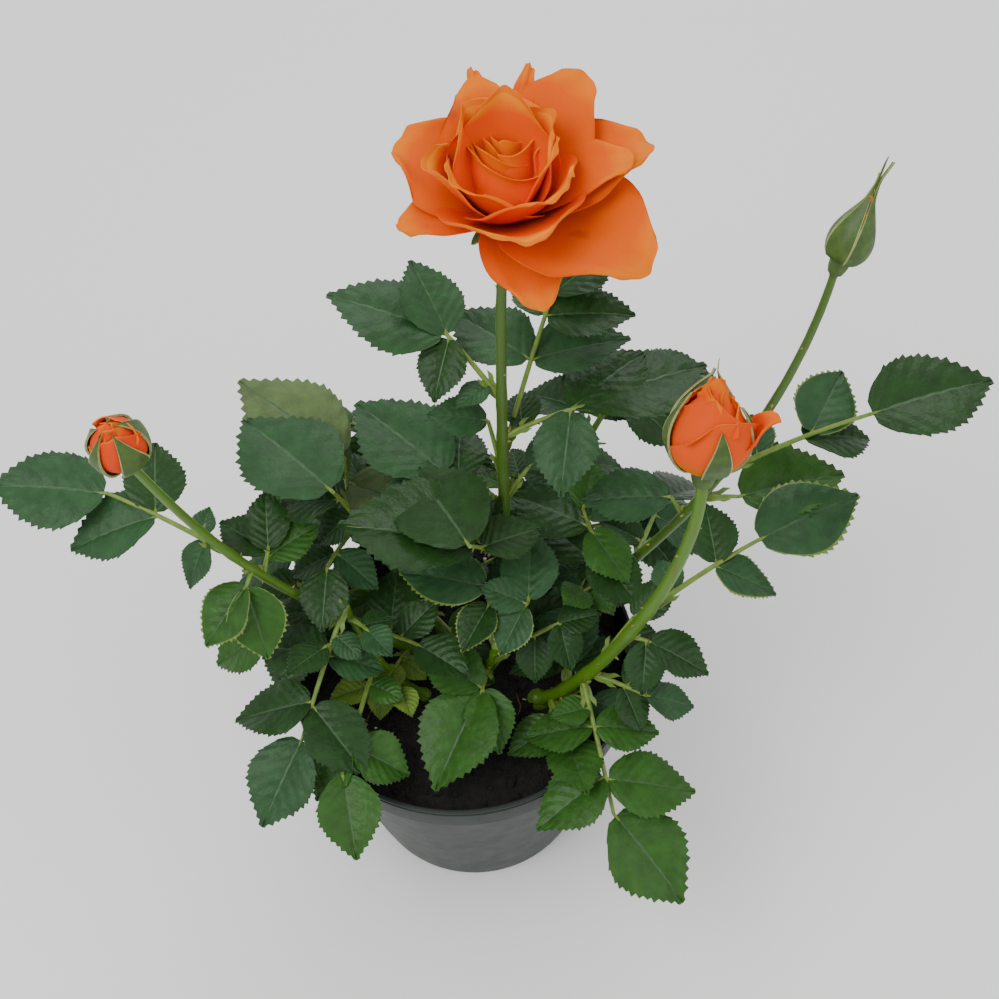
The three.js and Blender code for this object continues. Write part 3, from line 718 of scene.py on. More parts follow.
def blade_ways(tree):
    """Across and along a blade, from its own map, and the map itself."""
    blade = add_node(tree, "ShaderNodeUVMap", uv_map=BLADE_UV).outputs["UV"]
    split = add_node(tree, "ShaderNodeSeparateXYZ", links={"Vector": blade})
    return split.outputs["X"], split.outputs["Y"], blade


def relief(tree, surface, height, depth_mm, strength):
    """Raises and sinks the surface by a pattern, up to a real depth."""
    bump = add_node(tree, "ShaderNodeBump", {"Strength": strength, "Distance": depth_mm * MM},
                    {"Height": height})
    tree.links.new(bump.outputs["Normal"], surface.inputs["Normal"])


def patchy_finish(name, values, colour, dark, light, spot_mm, detail=4.0, marks=(0.35, 0.65)):
    """A surface in cloudy patches of a real size, from a darker to a lighter shade of a colour."""
    material, tree, surface = new_finish(name, values)
    tone = add_node(tree, "ShaderNodeValToRGB", links={"Fac": mottle(tree, spot_mm, detail)},
                    stops=[(marks[0], shade(colour, dark)), (marks[1], shade(colour, light))])
    tree.links.new(tone.outputs["Color"], surface.inputs["Base Color"])
    return material, tree, surface


def moulded_polypropylene(colour):
    """Injection-moulded polypropylene: an even wall, a faint orange-peel and a soft broad shine."""
    values = {"Roughness": 0.42, "IOR": 1.49, "Specular IOR Level": 0.18}
    material, tree, surface = patchy_finish("moulded_polypropylene", values, colour,
                                            dark=0.86, light=1.12, spot_mm=22)
    rough = add_node(tree, "ShaderNodeMapRange", {"To Min": 0.34, "To Max": 0.52},
                     {"Value": mottle(tree, 6)})
    tree.links.new(rough.outputs["Result"], surface.inputs["Roughness"])
    relief(tree, surface, mottle(tree, 0.9, 2.0), depth_mm=0.12, strength=0.35)
    return material


def moist_peat(colour):
    """Moist sphagnum peat: nearly black, matt, with brown fibre showing."""
    material, tree, surface = patchy_finish("moist_peat", {"Roughness": 0.93}, colour, dark=0.4,
                                            light=2.1, spot_mm=2.2, detail=8.0, marks=(0.4, 0.72))
    relief(tree, surface, mottle(tree, 0.9, 6.0), depth_mm=1.1, strength=0.9)
    return material


def plain_finish(name, colour, roughness, spot_mm=2.0, contrast=0.18):
    """A matt natural surface with slight spots and a fine grain."""
    material, tree, surface = patchy_finish(name, {"Roughness": roughness}, colour,
                                            1 - contrast, 1 + contrast, spot_mm)
    relief(tree, surface, mottle(tree, spot_mm / 3), depth_mm=0.1, strength=0.5)
    return material


def first_year_bark(name, colour, blush, amount):
    """First-year bark: waxy green with long streaks of red-brown."""
    material, tree, surface = new_finish(name, {"Roughness": 0.42})
    where = add_node(tree, "ShaderNodeTexCoord").outputs["Object"]
    stretch = (1, 1, 0.12)
    tone = add_node(tree, "ShaderNodeValToRGB",
                    links={"Fac": streaks(tree, where, stretch, 420.0, 4.0)},
                    stops=[(0.62 - amount, colour), (0.86 - amount * 0.6, blush)])
    tree.links.new(tone.outputs["Color"], surface.inputs["Base Color"])
    relief(tree, surface, streaks(tree, where, stretch, 1500.0, 3.0), depth_mm=0.12, strength=0.5)
    return material


def living_leaf(name, colour, roughness):
    """A waxy leaf: an even green with faint cloudy patches, sunk side veins and a fine pucker."""
    values = {"Roughness": roughness, "IOR": 1.42, "Specular IOR Level": 0.3}
    material, tree, surface = patchy_finish(name, values, colour, dark=0.8, light=1.25,
                                            spot_mm=5, marks=(0.3, 0.74))
    across, along, _ = blade_ways(tree)
    middle = add_node(tree, "ShaderNodeMath", {1: 0.5}, {0: across}, operation="SUBTRACT")
    aside = add_node(tree, "ShaderNodeMath", links={0: middle.outputs[0]}, operation="ABSOLUTE")
    rows = add_node(tree, "ShaderNodeMath", {1: VEIN_PAIRS}, {0: along}, operation="MULTIPLY")
    slant = add_node(tree, "ShaderNodeMath", {1: -2 * VEIN_SLANT},
                     {0: aside.outputs[0], 2: rows.outputs[0]}, operation="MULTIPLY_ADD")
    ridge = add_node(tree, "ShaderNodeMath", {1: 0.5}, {0: slant.outputs[0]},
                     operation="PINGPONG")
    height = add_node(tree, "ShaderNodeMath", links={0: mottle(tree, 1.6, 3.0),
                                                     1: ridge.outputs[0]}, operation="ADD")
    relief(tree, surface, height.outputs[0], depth_mm=0.5, strength=0.62)
    return material


def living_petal(name, root, body, rim, bruise=0.0):
    """A velvety petal: painted shade deep at its root, even over its body, a painted golden
    highlight at its rim, finely veined.
    """
    material, tree, surface = new_finish(name, {
        "Roughness": 0.58, "IOR": 1.38, "Specular IOR Level": 0.12, "Subsurface Weight": 0.1,
        "Subsurface Radius": (1.0, 0.25, 0.05), "Subsurface Scale": 0.6 * MM,
    })
    _, along, blade = blade_ways(tree)
    cloudy = add_node(tree, "ShaderNodeMath", {1: 0.14}, {0: mottle(tree, 7, 3.0), 2: along},
                      operation="MULTIPLY_ADD")
    # Painted shade at the root, and a painted highlight in the rim colour at the tip.
    ramp = add_node(tree, "ShaderNodeValToRGB", links={"Fac": cloudy.outputs[0]},
                    stops=[(0.10, root), (0.45, body), (0.9, body), (1.0, rim)])
    tone = ramp.outputs["Color"]
    if bruise:
        weight = add_node(tree, "ShaderNodeMapRange",
                          {"From Min": 0.66, "From Max": 0.74, "To Max": bruise},
                          {"Value": mottle(tree, 9, 2.0)})
        stained = add_node(tree, "ShaderNodeMix", {7: (*BRUISE, 1)},
                           {0: weight.outputs["Result"], 6: tone}, data_type="RGBA")
        tone = stained.outputs[2]
    tree.links.new(tone, surface.inputs["Base Color"])
    relief(tree, surface, streaks(tree, blade, (50, 3, 1), 1.0, 3.0), depth_mm=0.15, strength=0.4)
    return material


# ---- Pot and peat ---------------------------------------------------------------------------

POT_STEPS = 128
BEAD_STEPS = 5
FOOT_RING = 8
FOOT_HOLLOW = 1.0
WALL_RINGS = (12, 30, 50, 70)
LIP = 0.75
BAND_BEAD = 0.9
# How far in, and how far below or above, of the small steps by the band and the lip.
BAND_UNDERCUT = (0.1, 0.6)
LIP_GROOVE = ((0.1, 2.6), (0.45, 2.3))
INNER_STEP = (0.4, 1.6)

# The finishes of the peat, of its perlite and of its fibres.
PEAT_SKIN, PERLITE_SKIN, PEAT_FIBRE_SKIN = 0, 1, 2
PEAT_RINGS = 44
PEAT_STEPS = 120
PEAT_GAP = 0.05
PEAT_DEPTH = 0.4
# Height and spacing of the humps, from the broadest.
PEAT_HUMPS = ((1.1, 14), (0.8, 5), (0.45, 1.9))
WALL_FALL = 4.8
WALL_FALL_FROM = 0.75
CRUMB_SIZES = (0.6, 2.1)
PERLITE_SIZES = (0.5, 1.25)
# How far out grains lie, how lumpy they are, how flat, and how high they stand in the peat.
GRAIN_REACH = 0.97
GRAIN_LUMPS = (0.7, 0.6)
GRAIN_SQUASH = (1, 0.8, 0.65, 1)
GRAIN_STAND = 0.25
FIBRES = 26
FIBRE_REACH = 0.93
FIBRE_LENGTHS = (3, 9)
FIBRE_RADII = (0.12, 0.25, 0.28, 0.22, 0.1)
FIBRE_SIDES = 5
FIBRE_BEND = 1.5
FIBRE_LIFT = (0.35, 0.5)


def wall_radius(height):
    return mix(BASE_RADIUS, RIM_RADIUS - BAND_STEP, height / (POT_HEIGHT - BAND_HEIGHT))


def arc(centre, radius, start, end):
    """Points of an arc in the profile's plane, in degrees."""
    turns = [math.radians(mix(start, end, i / BEAD_STEPS)) for i in range(BEAD_STEPS + 1)]
    return [(centre[0] + radius * math.cos(t), centre[1] + radius * math.sin(t)) for t in turns]


class ROSE_OT_pot(bpy.types.Operator):
    """Build the moulded pot: tapered wall, stepped rim band and rolled lip"""
    bl_idname = "rose.pot"
    bl_label = "Pot"

    def execute(self, context):
        band_foot = POT_HEIGHT - BAND_HEIGHT
        band_wall = wall_radius(band_foot)
        profile = [(0, FOOT_HOLLOW), (BASE_RADIUS - FOOT_RING, FOOT_HOLLOW),
                   (BASE_RADIUS - FOOT_RING + 1, 0)]
        profile += arc((BASE_RADIUS - FOOT_CHAMFER, FOOT_CHAMFER), FOOT_CHAMFER, -90, -10)
        profile += [(wall_radius(height), height) for height in WALL_RINGS]
        profile += [(band_wall - BAND_UNDERCUT[0], band_foot - BAND_UNDERCUT[1])]
        profile += arc((RIM_RADIUS - BAND_BEAD, band_foot + BAND_BEAD), BAND_BEAD, -90, 0)
        profile += [(RIM_RADIUS - inwards, POT_HEIGHT - down) for inwards, down in LIP_GROOVE]
        profile += arc((RIM_RADIUS - LIP, POT_HEIGHT - LIP), LIP, 0, 180)
        profile += [(RIM_RADIUS - POT_WALL - INNER_STEP[0], band_foot + INNER_STEP[1]),
                    (band_wall - POT_WALL, band_foot - 1)]
        profile += [(wall_radius(POT_FLOOR) - POT_WALL, POT_FLOOR), (0, POT_FLOOR)]
        bm = bmesh.new()
        lathe(bm, profile, POT_STEPS)
        finish_piece(bm, "nursery_pot", ["pot"],
                     [moulded_polypropylene(context.scene.rose_pot.wall)], crease=32)
        return {"FINISHED"}


def peat_height(x, y):
    """The lie of the peat: low humps, and a shallow fall to the wall."""
    place = Vector((x, y, 0))
    edge = math.hypot(x, y) / RIM_RADIUS
    humps = sum(height * noise.noise(place / width) for height, width in PEAT_HUMPS)
    return SOIL_TOP - PEAT_DEPTH + humps - WALL_FALL * max(0, edge - WALL_FALL_FROM)


class ROSE_OT_peat(bpy.types.Operator):
    """Build the peat that fills the pot, with its crumbs, perlite and fibres"""
    bl_idname = "rose.peat"
    bl_label = "Peat"

    def execute(self, context):
        settings = context.scene.rose_pot
        edge = wall_radius(SOIL_TOP - 6) - POT_WALL - PEAT_GAP
        top = [(edge * (1 - i / PEAT_RINGS), SOIL_TOP) for i in range(PEAT_RINGS + 1)]
        foot = POT_FLOOR + CLEARANCE
        foot_edge = wall_radius(foot) - POT_WALL - CLEARANCE
        bm = bmesh.new()
        for vert in lathe(bm, [(0, foot), (foot_edge, foot), *top], PEAT_STEPS):
            if vert.co.z > SOIL_TOP - 1:
                vert.co.z = peat_height(vert.co.x, vert.co.y)
        run = seeded_run(PEAT_SEED)
        for material, count, sizes in ((PEAT_SKIN, settings.crumbs, CRUMB_SIZES),
                                       (PERLITE_SKIN, settings.perlite, PERLITE_SIZES)):
            for _ in range(count):
                self.add_grain(bm, run, edge, sizes, material)
        for _ in range(FIBRES):
            self.add_fibre(bm, run, edge)
        finish_piece(bm, "peat", ["soil"], [
            moist_peat(settings.peat),
            plain_finish("perlite", PERLITE, 0.9, 0.8),
            plain_finish("peat_fibre", PEAT_FIBRE, 0.8, 1.0),
        ])
        return {"FINISHED"}

    @staticmethod
    def somewhere(run, edge):
        radius = edge * GRAIN_REACH * math.sqrt(next(run))
        turn = 2 * math.pi * next(run)
        return radius * math.cos(turn), radius * math.sin(turn)

    def add_grain(self, bm, run, edge, sizes, material):
        x, y = self.somewhere(run, edge)
        size = mix(*sizes, next(run) ** 2)
        made = bmesh.ops.create_icosphere(bm, subdivisions=1, radius=size)["verts"]
        for vert in made:
            vert.co *= drawn(run, *GRAIN_LUMPS)
        turn = Quaternion((next(run) - 0.5, next(run) - 0.5, next(run)), 6 * next(run))
        place = Matrix.Translation((x, y, peat_height(x, y) + size * GRAIN_STAND))
        shape = turn.to_matrix().to_4x4() @ Matrix.Diagonal(GRAIN_SQUASH)
        bmesh.ops.transform(bm, matrix=place @ shape, verts=made)
        paint(bm, made, material)

    def add_fibre(self, bm, run, edge):
        x, y = self.somewhere(run, edge * FIBRE_REACH)
        turn = 2 * math.pi * next(run)
        length = mix(*FIBRE_LENGTHS, next(run))
        last = len(FIBRE_RADII) - 1
        points = []
        for step in range(last + 1):
            along = length * (step / last - 0.5)
            bend = FIBRE_BEND * math.sin(step * 1.3 + turn)
            px = x + along * math.cos(turn) - bend * math.sin(turn) * 0.5
            py = y + along * math.sin(turn) + bend * math.cos(turn) * 0.5
            points.append(Vector((px, py, peat_height(px, py) + drawn(run, *FIBRE_LIFT))))
        tube(bm, points, FIBRE_RADII, FIBRE_SIDES, PEAT_FIBRE_SKIN)


# ---- Canes ----------------------------------------------------------------------------------

CANE_RINGS = 64
CANE_SIDES = 18
CANE_STEP = 0.004
BARK_RELIEF = 0.07
BARK_LUMPS = 1.3
NODE_SWELL = 0.16
NODE_LENGTH = 2.2
# The main and tall canes take a darker copy of the bark, as painted shade.
SHADED_CANES = ("main_cane", "tall_cane")
BARK_SHADE_FACTOR = 0.66
# Heights above the soil and shares of the cane's radius of the collar round its foot.
COLLAR = ((-3, 1.3), (-1.2, 1.18), (0.2, 1.0))
# Along the cane and out of its bark from the bud's root, and radius, of each ring of an axil bud.
AXIL_BUD_ABOVE = 2.4
AXIL_BUD_SIDES = 8
AXIL_BUD_RINGS = ((0, -0.5, 0.7), (0.4, 0.35, 0.85), (1.5, 0.6, 0.5), (2.3, 0.5, 0.08))
PRICKLE_LENGTH = 2.6
PRICKLE_SIDES = 7
# A prickle's foot, rise from the bark and hook as shares of its length, how long and how thin its
# foot is made, the share of a cane where prickles start and how much of it has them, and sizes.
PRICKLE_FOOT = 0.34
PRICKLE_RISE = 0.42
PRICKLE_HOOK = 0.45
PRICKLE_SHAPE = (1.5, 0.75)
PRICKLE_SPAN = (0.06, 0.84)
PRICKLE_SIZES = (0.55, 0.5)
BARK, PRICKLE_SKIN, AXIL_BUD_SKIN = 0, 1, 2


def cane_frame(name, share):
    """A place on a cane and the way the cane goes there."""
    low, high = max(0, share - CANE_STEP), min(1, share + CANE_STEP)
    along = (cane_point(name, high) - cane_point(name, low)).normalized()
    return cane_point(name, share), along


def add_prickle(bm, place, out, down, length, material):
    """A flat-footed prickle that hooks down towards the foot of its limb."""
    made = bmesh.ops.create_cone(bm, cap_ends=True, segments=PRICKLE_SIDES,
                                 radius1=length * PRICKLE_FOOT, radius2=0.03,
                                 depth=length)["verts"]
    bmesh.ops.translate(bm, verts=made, vec=(0, 0, length * PRICKLE_RISE))
    for vert in made:
        lift = max(0, vert.co.z / length)
        vert.co.x = vert.co.x * PRICKLE_SHAPE[0] + PRICKLE_HOOK * length * lift * lift
        vert.co.y *= PRICKLE_SHAPE[1]
    side = down.cross(out).normalized()
    bmesh.ops.transform(bm, matrix=set_at(place, out.cross(side) * -1, side, out), verts=made)
    paint(bm, made, material)


class ROSE_OT_canes(bpy.types.Operator):
    """Build the canes and short stems with bark relief, swellings where the leaves join, axil buds
    and prickles
    """
    bl_idname = "rose.canes"
    bl_label = "Canes"

    def execute(self, context):
        settings = context.scene.rose_cane
        # A darker copy of the bark paints the shade on the main and tall canes.
        shaded_tone = shade(settings.bark, BARK_SHADE_FACTOR)
        barks = [first_year_bark("young_bark", settings.bark, settings.blush, 0.02),
                 first_year_bark("ripe_bark", shaded_tone, settings.blush, 0.03)]
        skins = [plain_finish("prickle_skin", settings.prickle, 0.5, 1.0),
                 plain_finish("axil_bud", AXIL_BUD, 0.5, 1.0)]
        for seed, name in enumerate(CANES):
            bm = bmesh.new()
            leaves = [row for row in LEAVES if row[1] == name]
            self.add_limb(bm, name, [row[2] for row in leaves])
            for row in leaves:
                self.add_bud(bm, name, row[2], row[3])
            if name.endswith("_cane"):
                self.add_prickles(bm, name, settings.prickles, PRICKLE_SEED + seed)
            finish_piece(bm, f"{name}_bark", [name], [barks[name in SHADED_CANES], *skins])
        return {"FINISHED"}

    @staticmethod
    def add_limb(bm, name, leaf_places):
        shares = [i / (CANE_RINGS - 1) for i in range(CANE_RINGS)]
        points = [cane_point(name, share) for share in shares]
        reach = sum((high - low).length for low, high in zip(points, points[1:]))
        radii = []
        for share in shares:
            swell = sum(math.exp(-((share - place) * reach / NODE_LENGTH) ** 2)
                        for place in leaf_places)
            radii.append(cane_radius(name, share) * (1 + NODE_SWELL * min(1, swell)))
        made = tube(bm, points, radii, CANE_SIDES, BARK)
        bm.normal_update()
        for vert in made:
            if vert.co.z > SOIL_LEVEL + 1:
                place = Vector((vert.co.x, vert.co.y, vert.co.z / 5)) * BARK_LUMPS
                vert.co += vert.normal * BARK_RELIEF * noise.noise(place)
        foot = Vector((*CANES[name][0], SOIL_LEVEL))
        tube(bm, [foot + UP * height for height, _ in COLLAR],
             [cane_radius(name, 0) * share for _, share in COLLAR], CANE_SIDES, BARK)

    @staticmethod
    def add_bud(bm, name, share, stalk):
        place, along = cane_frame(name, share)
        out = direction(stalk[0], stalk[1])
        out = (out - along * out.dot(along)).normalized()
        root = place + along * AXIL_BUD_ABOVE + out * cane_radius(name, share)
        points = [root + along * up + out * clear for up, clear, _ in AXIL_BUD_RINGS]
        tube(bm, points, [ring[2] for ring in AXIL_BUD_RINGS], AXIL_BUD_SIDES,
             AXIL_BUD_SKIN)

    @staticmethod
    def add_prickles(bm, name, count, seed):
        run = seeded_run(seed)
        for index in range(count):
            share = PRICKLE_SPAN[0] + PRICKLE_SPAN[1] * (index + next(run)) / count
            place, along = cane_frame(name, share)
            side = along.orthogonal().normalized()
            side.rotate(Quaternion(along, 2 * math.pi * next(run)))
            length = PRICKLE_LENGTH * drawn(run, *PRICKLE_SIZES) * (1.1 - 0.5 * share)
            add_prickle(bm, place + side * cane_radius(name, share) * 0.9, side, -along, length,
                        PRICKLE_SKIN)


# ---- Leaves ---------------------------------------------------------------------------------

# Shares of a leaflet's half width where its blade has a line. The midrib ends at the second, and
# the rim starts at the last but one.
LEAFLET_MARKS = (0, 0.03, 0.3, 0.6, 0.93, 1)
ROWS_PER_TOOTH = 2
LEAFLET_WIDTH = 0.78
# Shares of the leaflet's length, but for TOOTH_CHANGE, which is how much the teeth differ.
TOOTH_DEPTH = 0.05
TOOTH_CHANGE = 0.45
PUCKER = 0.016
MIDRIB_GROOVE = 0.014
FIRST_ROW = 0.03
# The least of a random measure, and how much more it may be.
FOLD = (0.14, 0.28)
DROOP = (0.10, 0.34)
WAVE = (0.010, 0.024)
CURL_JITTER = 0.03
MOST_TWIST = 20

YOUNG_PLACE = 0.24
YOUNG_SHARE = 0.62
YOUNG_REACH = 24
YOUNG_SPLAY = (70, 16)
YOUNG_RISE = (-6, 24)
# Steps of the stalk's line between which it gives a young pair its heading.
YOUNG_STEPS = (40, 60)
LEAFLET_ROOM = 3.1
ROOM_ABOVE_SOIL = 4
INNER_LEAVES = 46
INNER_EDGE = 62
# Where a small leaf may spring: lowest share of its limb, and highest of a cane and of a stem.
INNER_FROM = 0.05
INNER_TO_CANE = 0.42
INNER_TO_STEM = 0.95
INNER_RISES = (8, 50)
INNER_REACHES = (9, 24)
INNER_LENGTHS = (13, 24)
# Of a small leaf's pair: place on the stalk, splay and length beside the end leaflet's.
SMALL_PAIR_PLACE = 0.66
SMALL_PAIR_SPLAY = (62, 14)
SMALL_PAIR_SIZE = 0.85
# None of the seeded small leaves ends in this window, where the peat shows between the canes.
PEAT_WINDOW_FRONT = -24
PEAT_WINDOW_SIDES = (-50, 16)

MIDRIB_SHARES = (0, 0.2, 0.4, 0.6, 0.8, 0.93)
MIDRIB_RADII = (0.62, 0.45, 0.36, 0.27, 0.18, 0.08)
MIDRIB_SIDES = 6
# Every so many steps of the stalk's line there is a ring.
STALK_STRIDE = 8
STALK_SIDES = 8
STALK_FOOT_SWELL = 0.5
# The step of the stalk's line that gives its stipules their way.
STIPULE_STEP = 12
STIPULE_WIDTH = 0.9
STIPULE_EAR = 1.6
STIPULE_MARKS = (0, 0.5, 1)
STIPULE_ROWS = 10
STIPULE_LENGTH = 8.5
STIPULE_THICKNESS = 0.3
STIPULE_REACH = 12
STALK_PRICKLE_GAP = 11
STALK_PRICKLE_SPAN = (0.16, 0.76)
STALK_PRICKLE_LENGTHS = (1.3, 0.5)
STALK_SKIN, STIPULE_SKIN, STALK_PRICKLE_SKIN = 0, 1, 2


def leaflet_zone(across, along):
    if across < LEAFLET_MARKS[1]:
        return VEIN
    return RIM if across > LEAFLET_MARKS[-2] else BLADE


def leaflet_outline(share):
    """The blade's half width as a share of its greatest, from the foot to the point."""
    return np.sin(np.pi * share ** 0.86).clip(0, 1) ** (0.76 + 0.26 * share) * (1 - 0.08 * share)


def leaflet_places(sheet, leaflet, teeth, run):
    """Where a flat blade's points go on a toothed, folded and puckered leaflet."""
    across, along, depth = sheet
    root, way, up, length = leaflet
    share = FIRST_ROW + (1 - FIRST_ROW) * along
    outline = leaflet_outline(share)
    rim = np.abs(across) > 0.99
    row = np.round(along * teeth * ROWS_PER_TOOTH) % ROWS_PER_TOOTH
    tooth = np.where(rim, row / ROWS_PER_TOOTH, 0)
    fade = smooth(0.04, 0.16, along) * (1 - smooth(0.96, 1.0, along))
    half = LEAFLET_WIDTH * length / 2 * outline + 0.3 * (1 - share)
    uneven = 1 + TOOTH_CHANGE * np.sin(along * teeth * 2.3 + np.sign(across) + 6 * next(run))
    half = half + TOOTH_DEPTH * length * (tooth * uneven - 0.3 * rim) * fade
    forward = share * length + tooth * fade * 0.7 * length / teeth
    fold = drawn(run, *FOLD)
    curl = CURL + CURL_JITTER * either_way(run)
    droop = drawn(run, *DROOP)
    wave = drawn(run, *WAVE) * length
    wave_phase = 2 * math.pi * next(run)
    twist = math.radians(MOST_TWIST) * either_way(run) * share
    aside = across * half
    veins = share * VEIN_PAIRS - np.abs(across) * VEIN_SLANT
    pucker = np.abs(np.sin(np.pi * veins)) ** 0.7 * (1 - across ** 4) * np.minimum(1, outline * 1.6)
    height = (fold * np.abs(aside) - droop * aside ** 2 / (length * 0.7)
              - curl * length * share ** 2
              + PUCKER * length * pucker
              - MIDRIB_GROOVE * length * np.exp(-(across / 0.1) ** 2)
              + wave * np.sin(9 * share + wave_phase + np.sign(across)) * across ** 2 * outline
              + depth)
    return spread_out(root, (forward, way), (aside * np.cos(twist), np.cross(up, way)),
                      (height + aside * np.sin(twist), up))


class Crowd:
    """Where the leaflets grown so far lie, to keep later ones clear of them."""

    def __init__(self):
        self.points = []

    @staticmethod
    def probes(leaflet):
        root, way, up, length = leaflet
        side = up.cross(way)
        for share in (0.12, 0.3, 0.5, 0.7, 0.92):
            half = LEAFLET_WIDTH * length / 2 * float(leaflet_outline(share))
            for across in (-0.9, -0.45, 0, 0.45, 0.9):
                yield (root + way * (share * length) + side * (across * half)
                       - up * (CURL * length * share ** 2))

    def add(self, leaflet):
        self.points.extend(self.probes(leaflet))
        self.tree = point_tree(self.points)

    def has_room(self, leaflet):
        return all(point.z > SOIL_TOP + ROOM_ABOVE_SOIL
                   and self.tree.find(point)[2] > LEAFLET_ROOM for point in self.probes(leaflet))


def try_leaflet(crowd, root, heading, rise, length, roll=0):
    """A leaflet that stands clear of the others, swung up or down as the solids' are."""
    level = blade_frame(heading, rise, roll)
    for turn in LEAFLET_SWINGS:
        leaflet = Leaflet(root, *swung(*level, turn), length)
        if crowd.has_room(leaflet):
            crowd.add(leaflet)
            return leaflet
    return None


def add_young_pair(crowd, leaf, run):
    """The small pair near the foot of a long stalk, finer than the solids carry."""
    reach = (leaf["stalk"][-1] - leaf["stalk"][0]).length
    if reach < YOUNG_REACH or not leaf["leaflets"]:
        return
    length = YOUNG_SHARE * min(leaflet.length for leaflet in leaf["leaflets"])
    low, high = (leaf["stalk"][step] for step in YOUNG_STEPS)
    heading = math.degrees(math.atan2(high.y - low.y, high.x - low.x))
    root = stalk_at(leaf["stalk"], YOUNG_PLACE)
    for hand in (1, -1):
        turn = heading + hand * drawn(run, *YOUNG_SPLAY)
        grown = try_leaflet(crowd, root, turn, drawn(run, *YOUNG_RISE), length)
        if grown:
            leaf["leaflets"].append(grown)


def small_leaf(crowd, name, cane, place, stalk, length, run):
    """A short stalk from a cane with an end leaflet and a pair, or None where they lack room."""
    heading, rise, _ = stalk
    points = stalk_points(cane_point(cane, place), stalk)
    leaf = {"name": name, "cane": cane, "place": place, "stalk": points, "leaflets": []}
    plans = [(1, heading, rise - 18, length)]
    plans += [(SMALL_PAIR_PLACE, heading + hand * drawn(run, *SMALL_PAIR_SPLAY), rise / 2 - 8,
               length * SMALL_PAIR_SIZE) for hand in (1, -1)]
    for at, turn, lean, size in plans:
        roll = 10 * either_way(run)
        blade = try_leaflet(crowd, stalk_at(points, at), turn, lean, size, roll)
        if blade:
            leaf["leaflets"].append(blade)
        elif at == 1:
            return None
    return leaf


def inner_leaves(crowd):
    """The young shoots, then small leaves low in the crown wherever there is room."""
    run = seeded_run(INNER_SEED)
    grown = []
    for index, (cane, place, stalk, length, tint) in enumerate(SHOOTS):
        leaf = small_leaf(crowd, f"shoot_{index}", cane, place, stalk, length, run)
        if leaf:
            grown.append({**leaf, "tint": tint})
    names = list(CANES)
    for index in range(INNER_LEAVES):
        cane = names[index % len(names)]
        top = INNER_TO_CANE if cane.endswith("_cane") else INNER_TO_STEM
        place = mix(INNER_FROM, top, next(run))
        stalk = (360 * next(run), mix(*INNER_RISES, next(run)), mix(*INNER_REACHES, next(run)))
        length = mix(*INNER_LENGTHS, next(run))
        end = stalk_points(cane_point(cane, place), stalk)[-1]
        left, right = PEAT_WINDOW_SIDES
        in_window = end.y < PEAT_WINDOW_FRONT and left < end.x < right
        if in_window or math.hypot(end.x, end.y) > INNER_EDGE:
            continue
        leaf = small_leaf(crowd, f"inner_{index}", cane, place, stalk, length, run)
        if leaf:
            grown.append(leaf)
    return grown


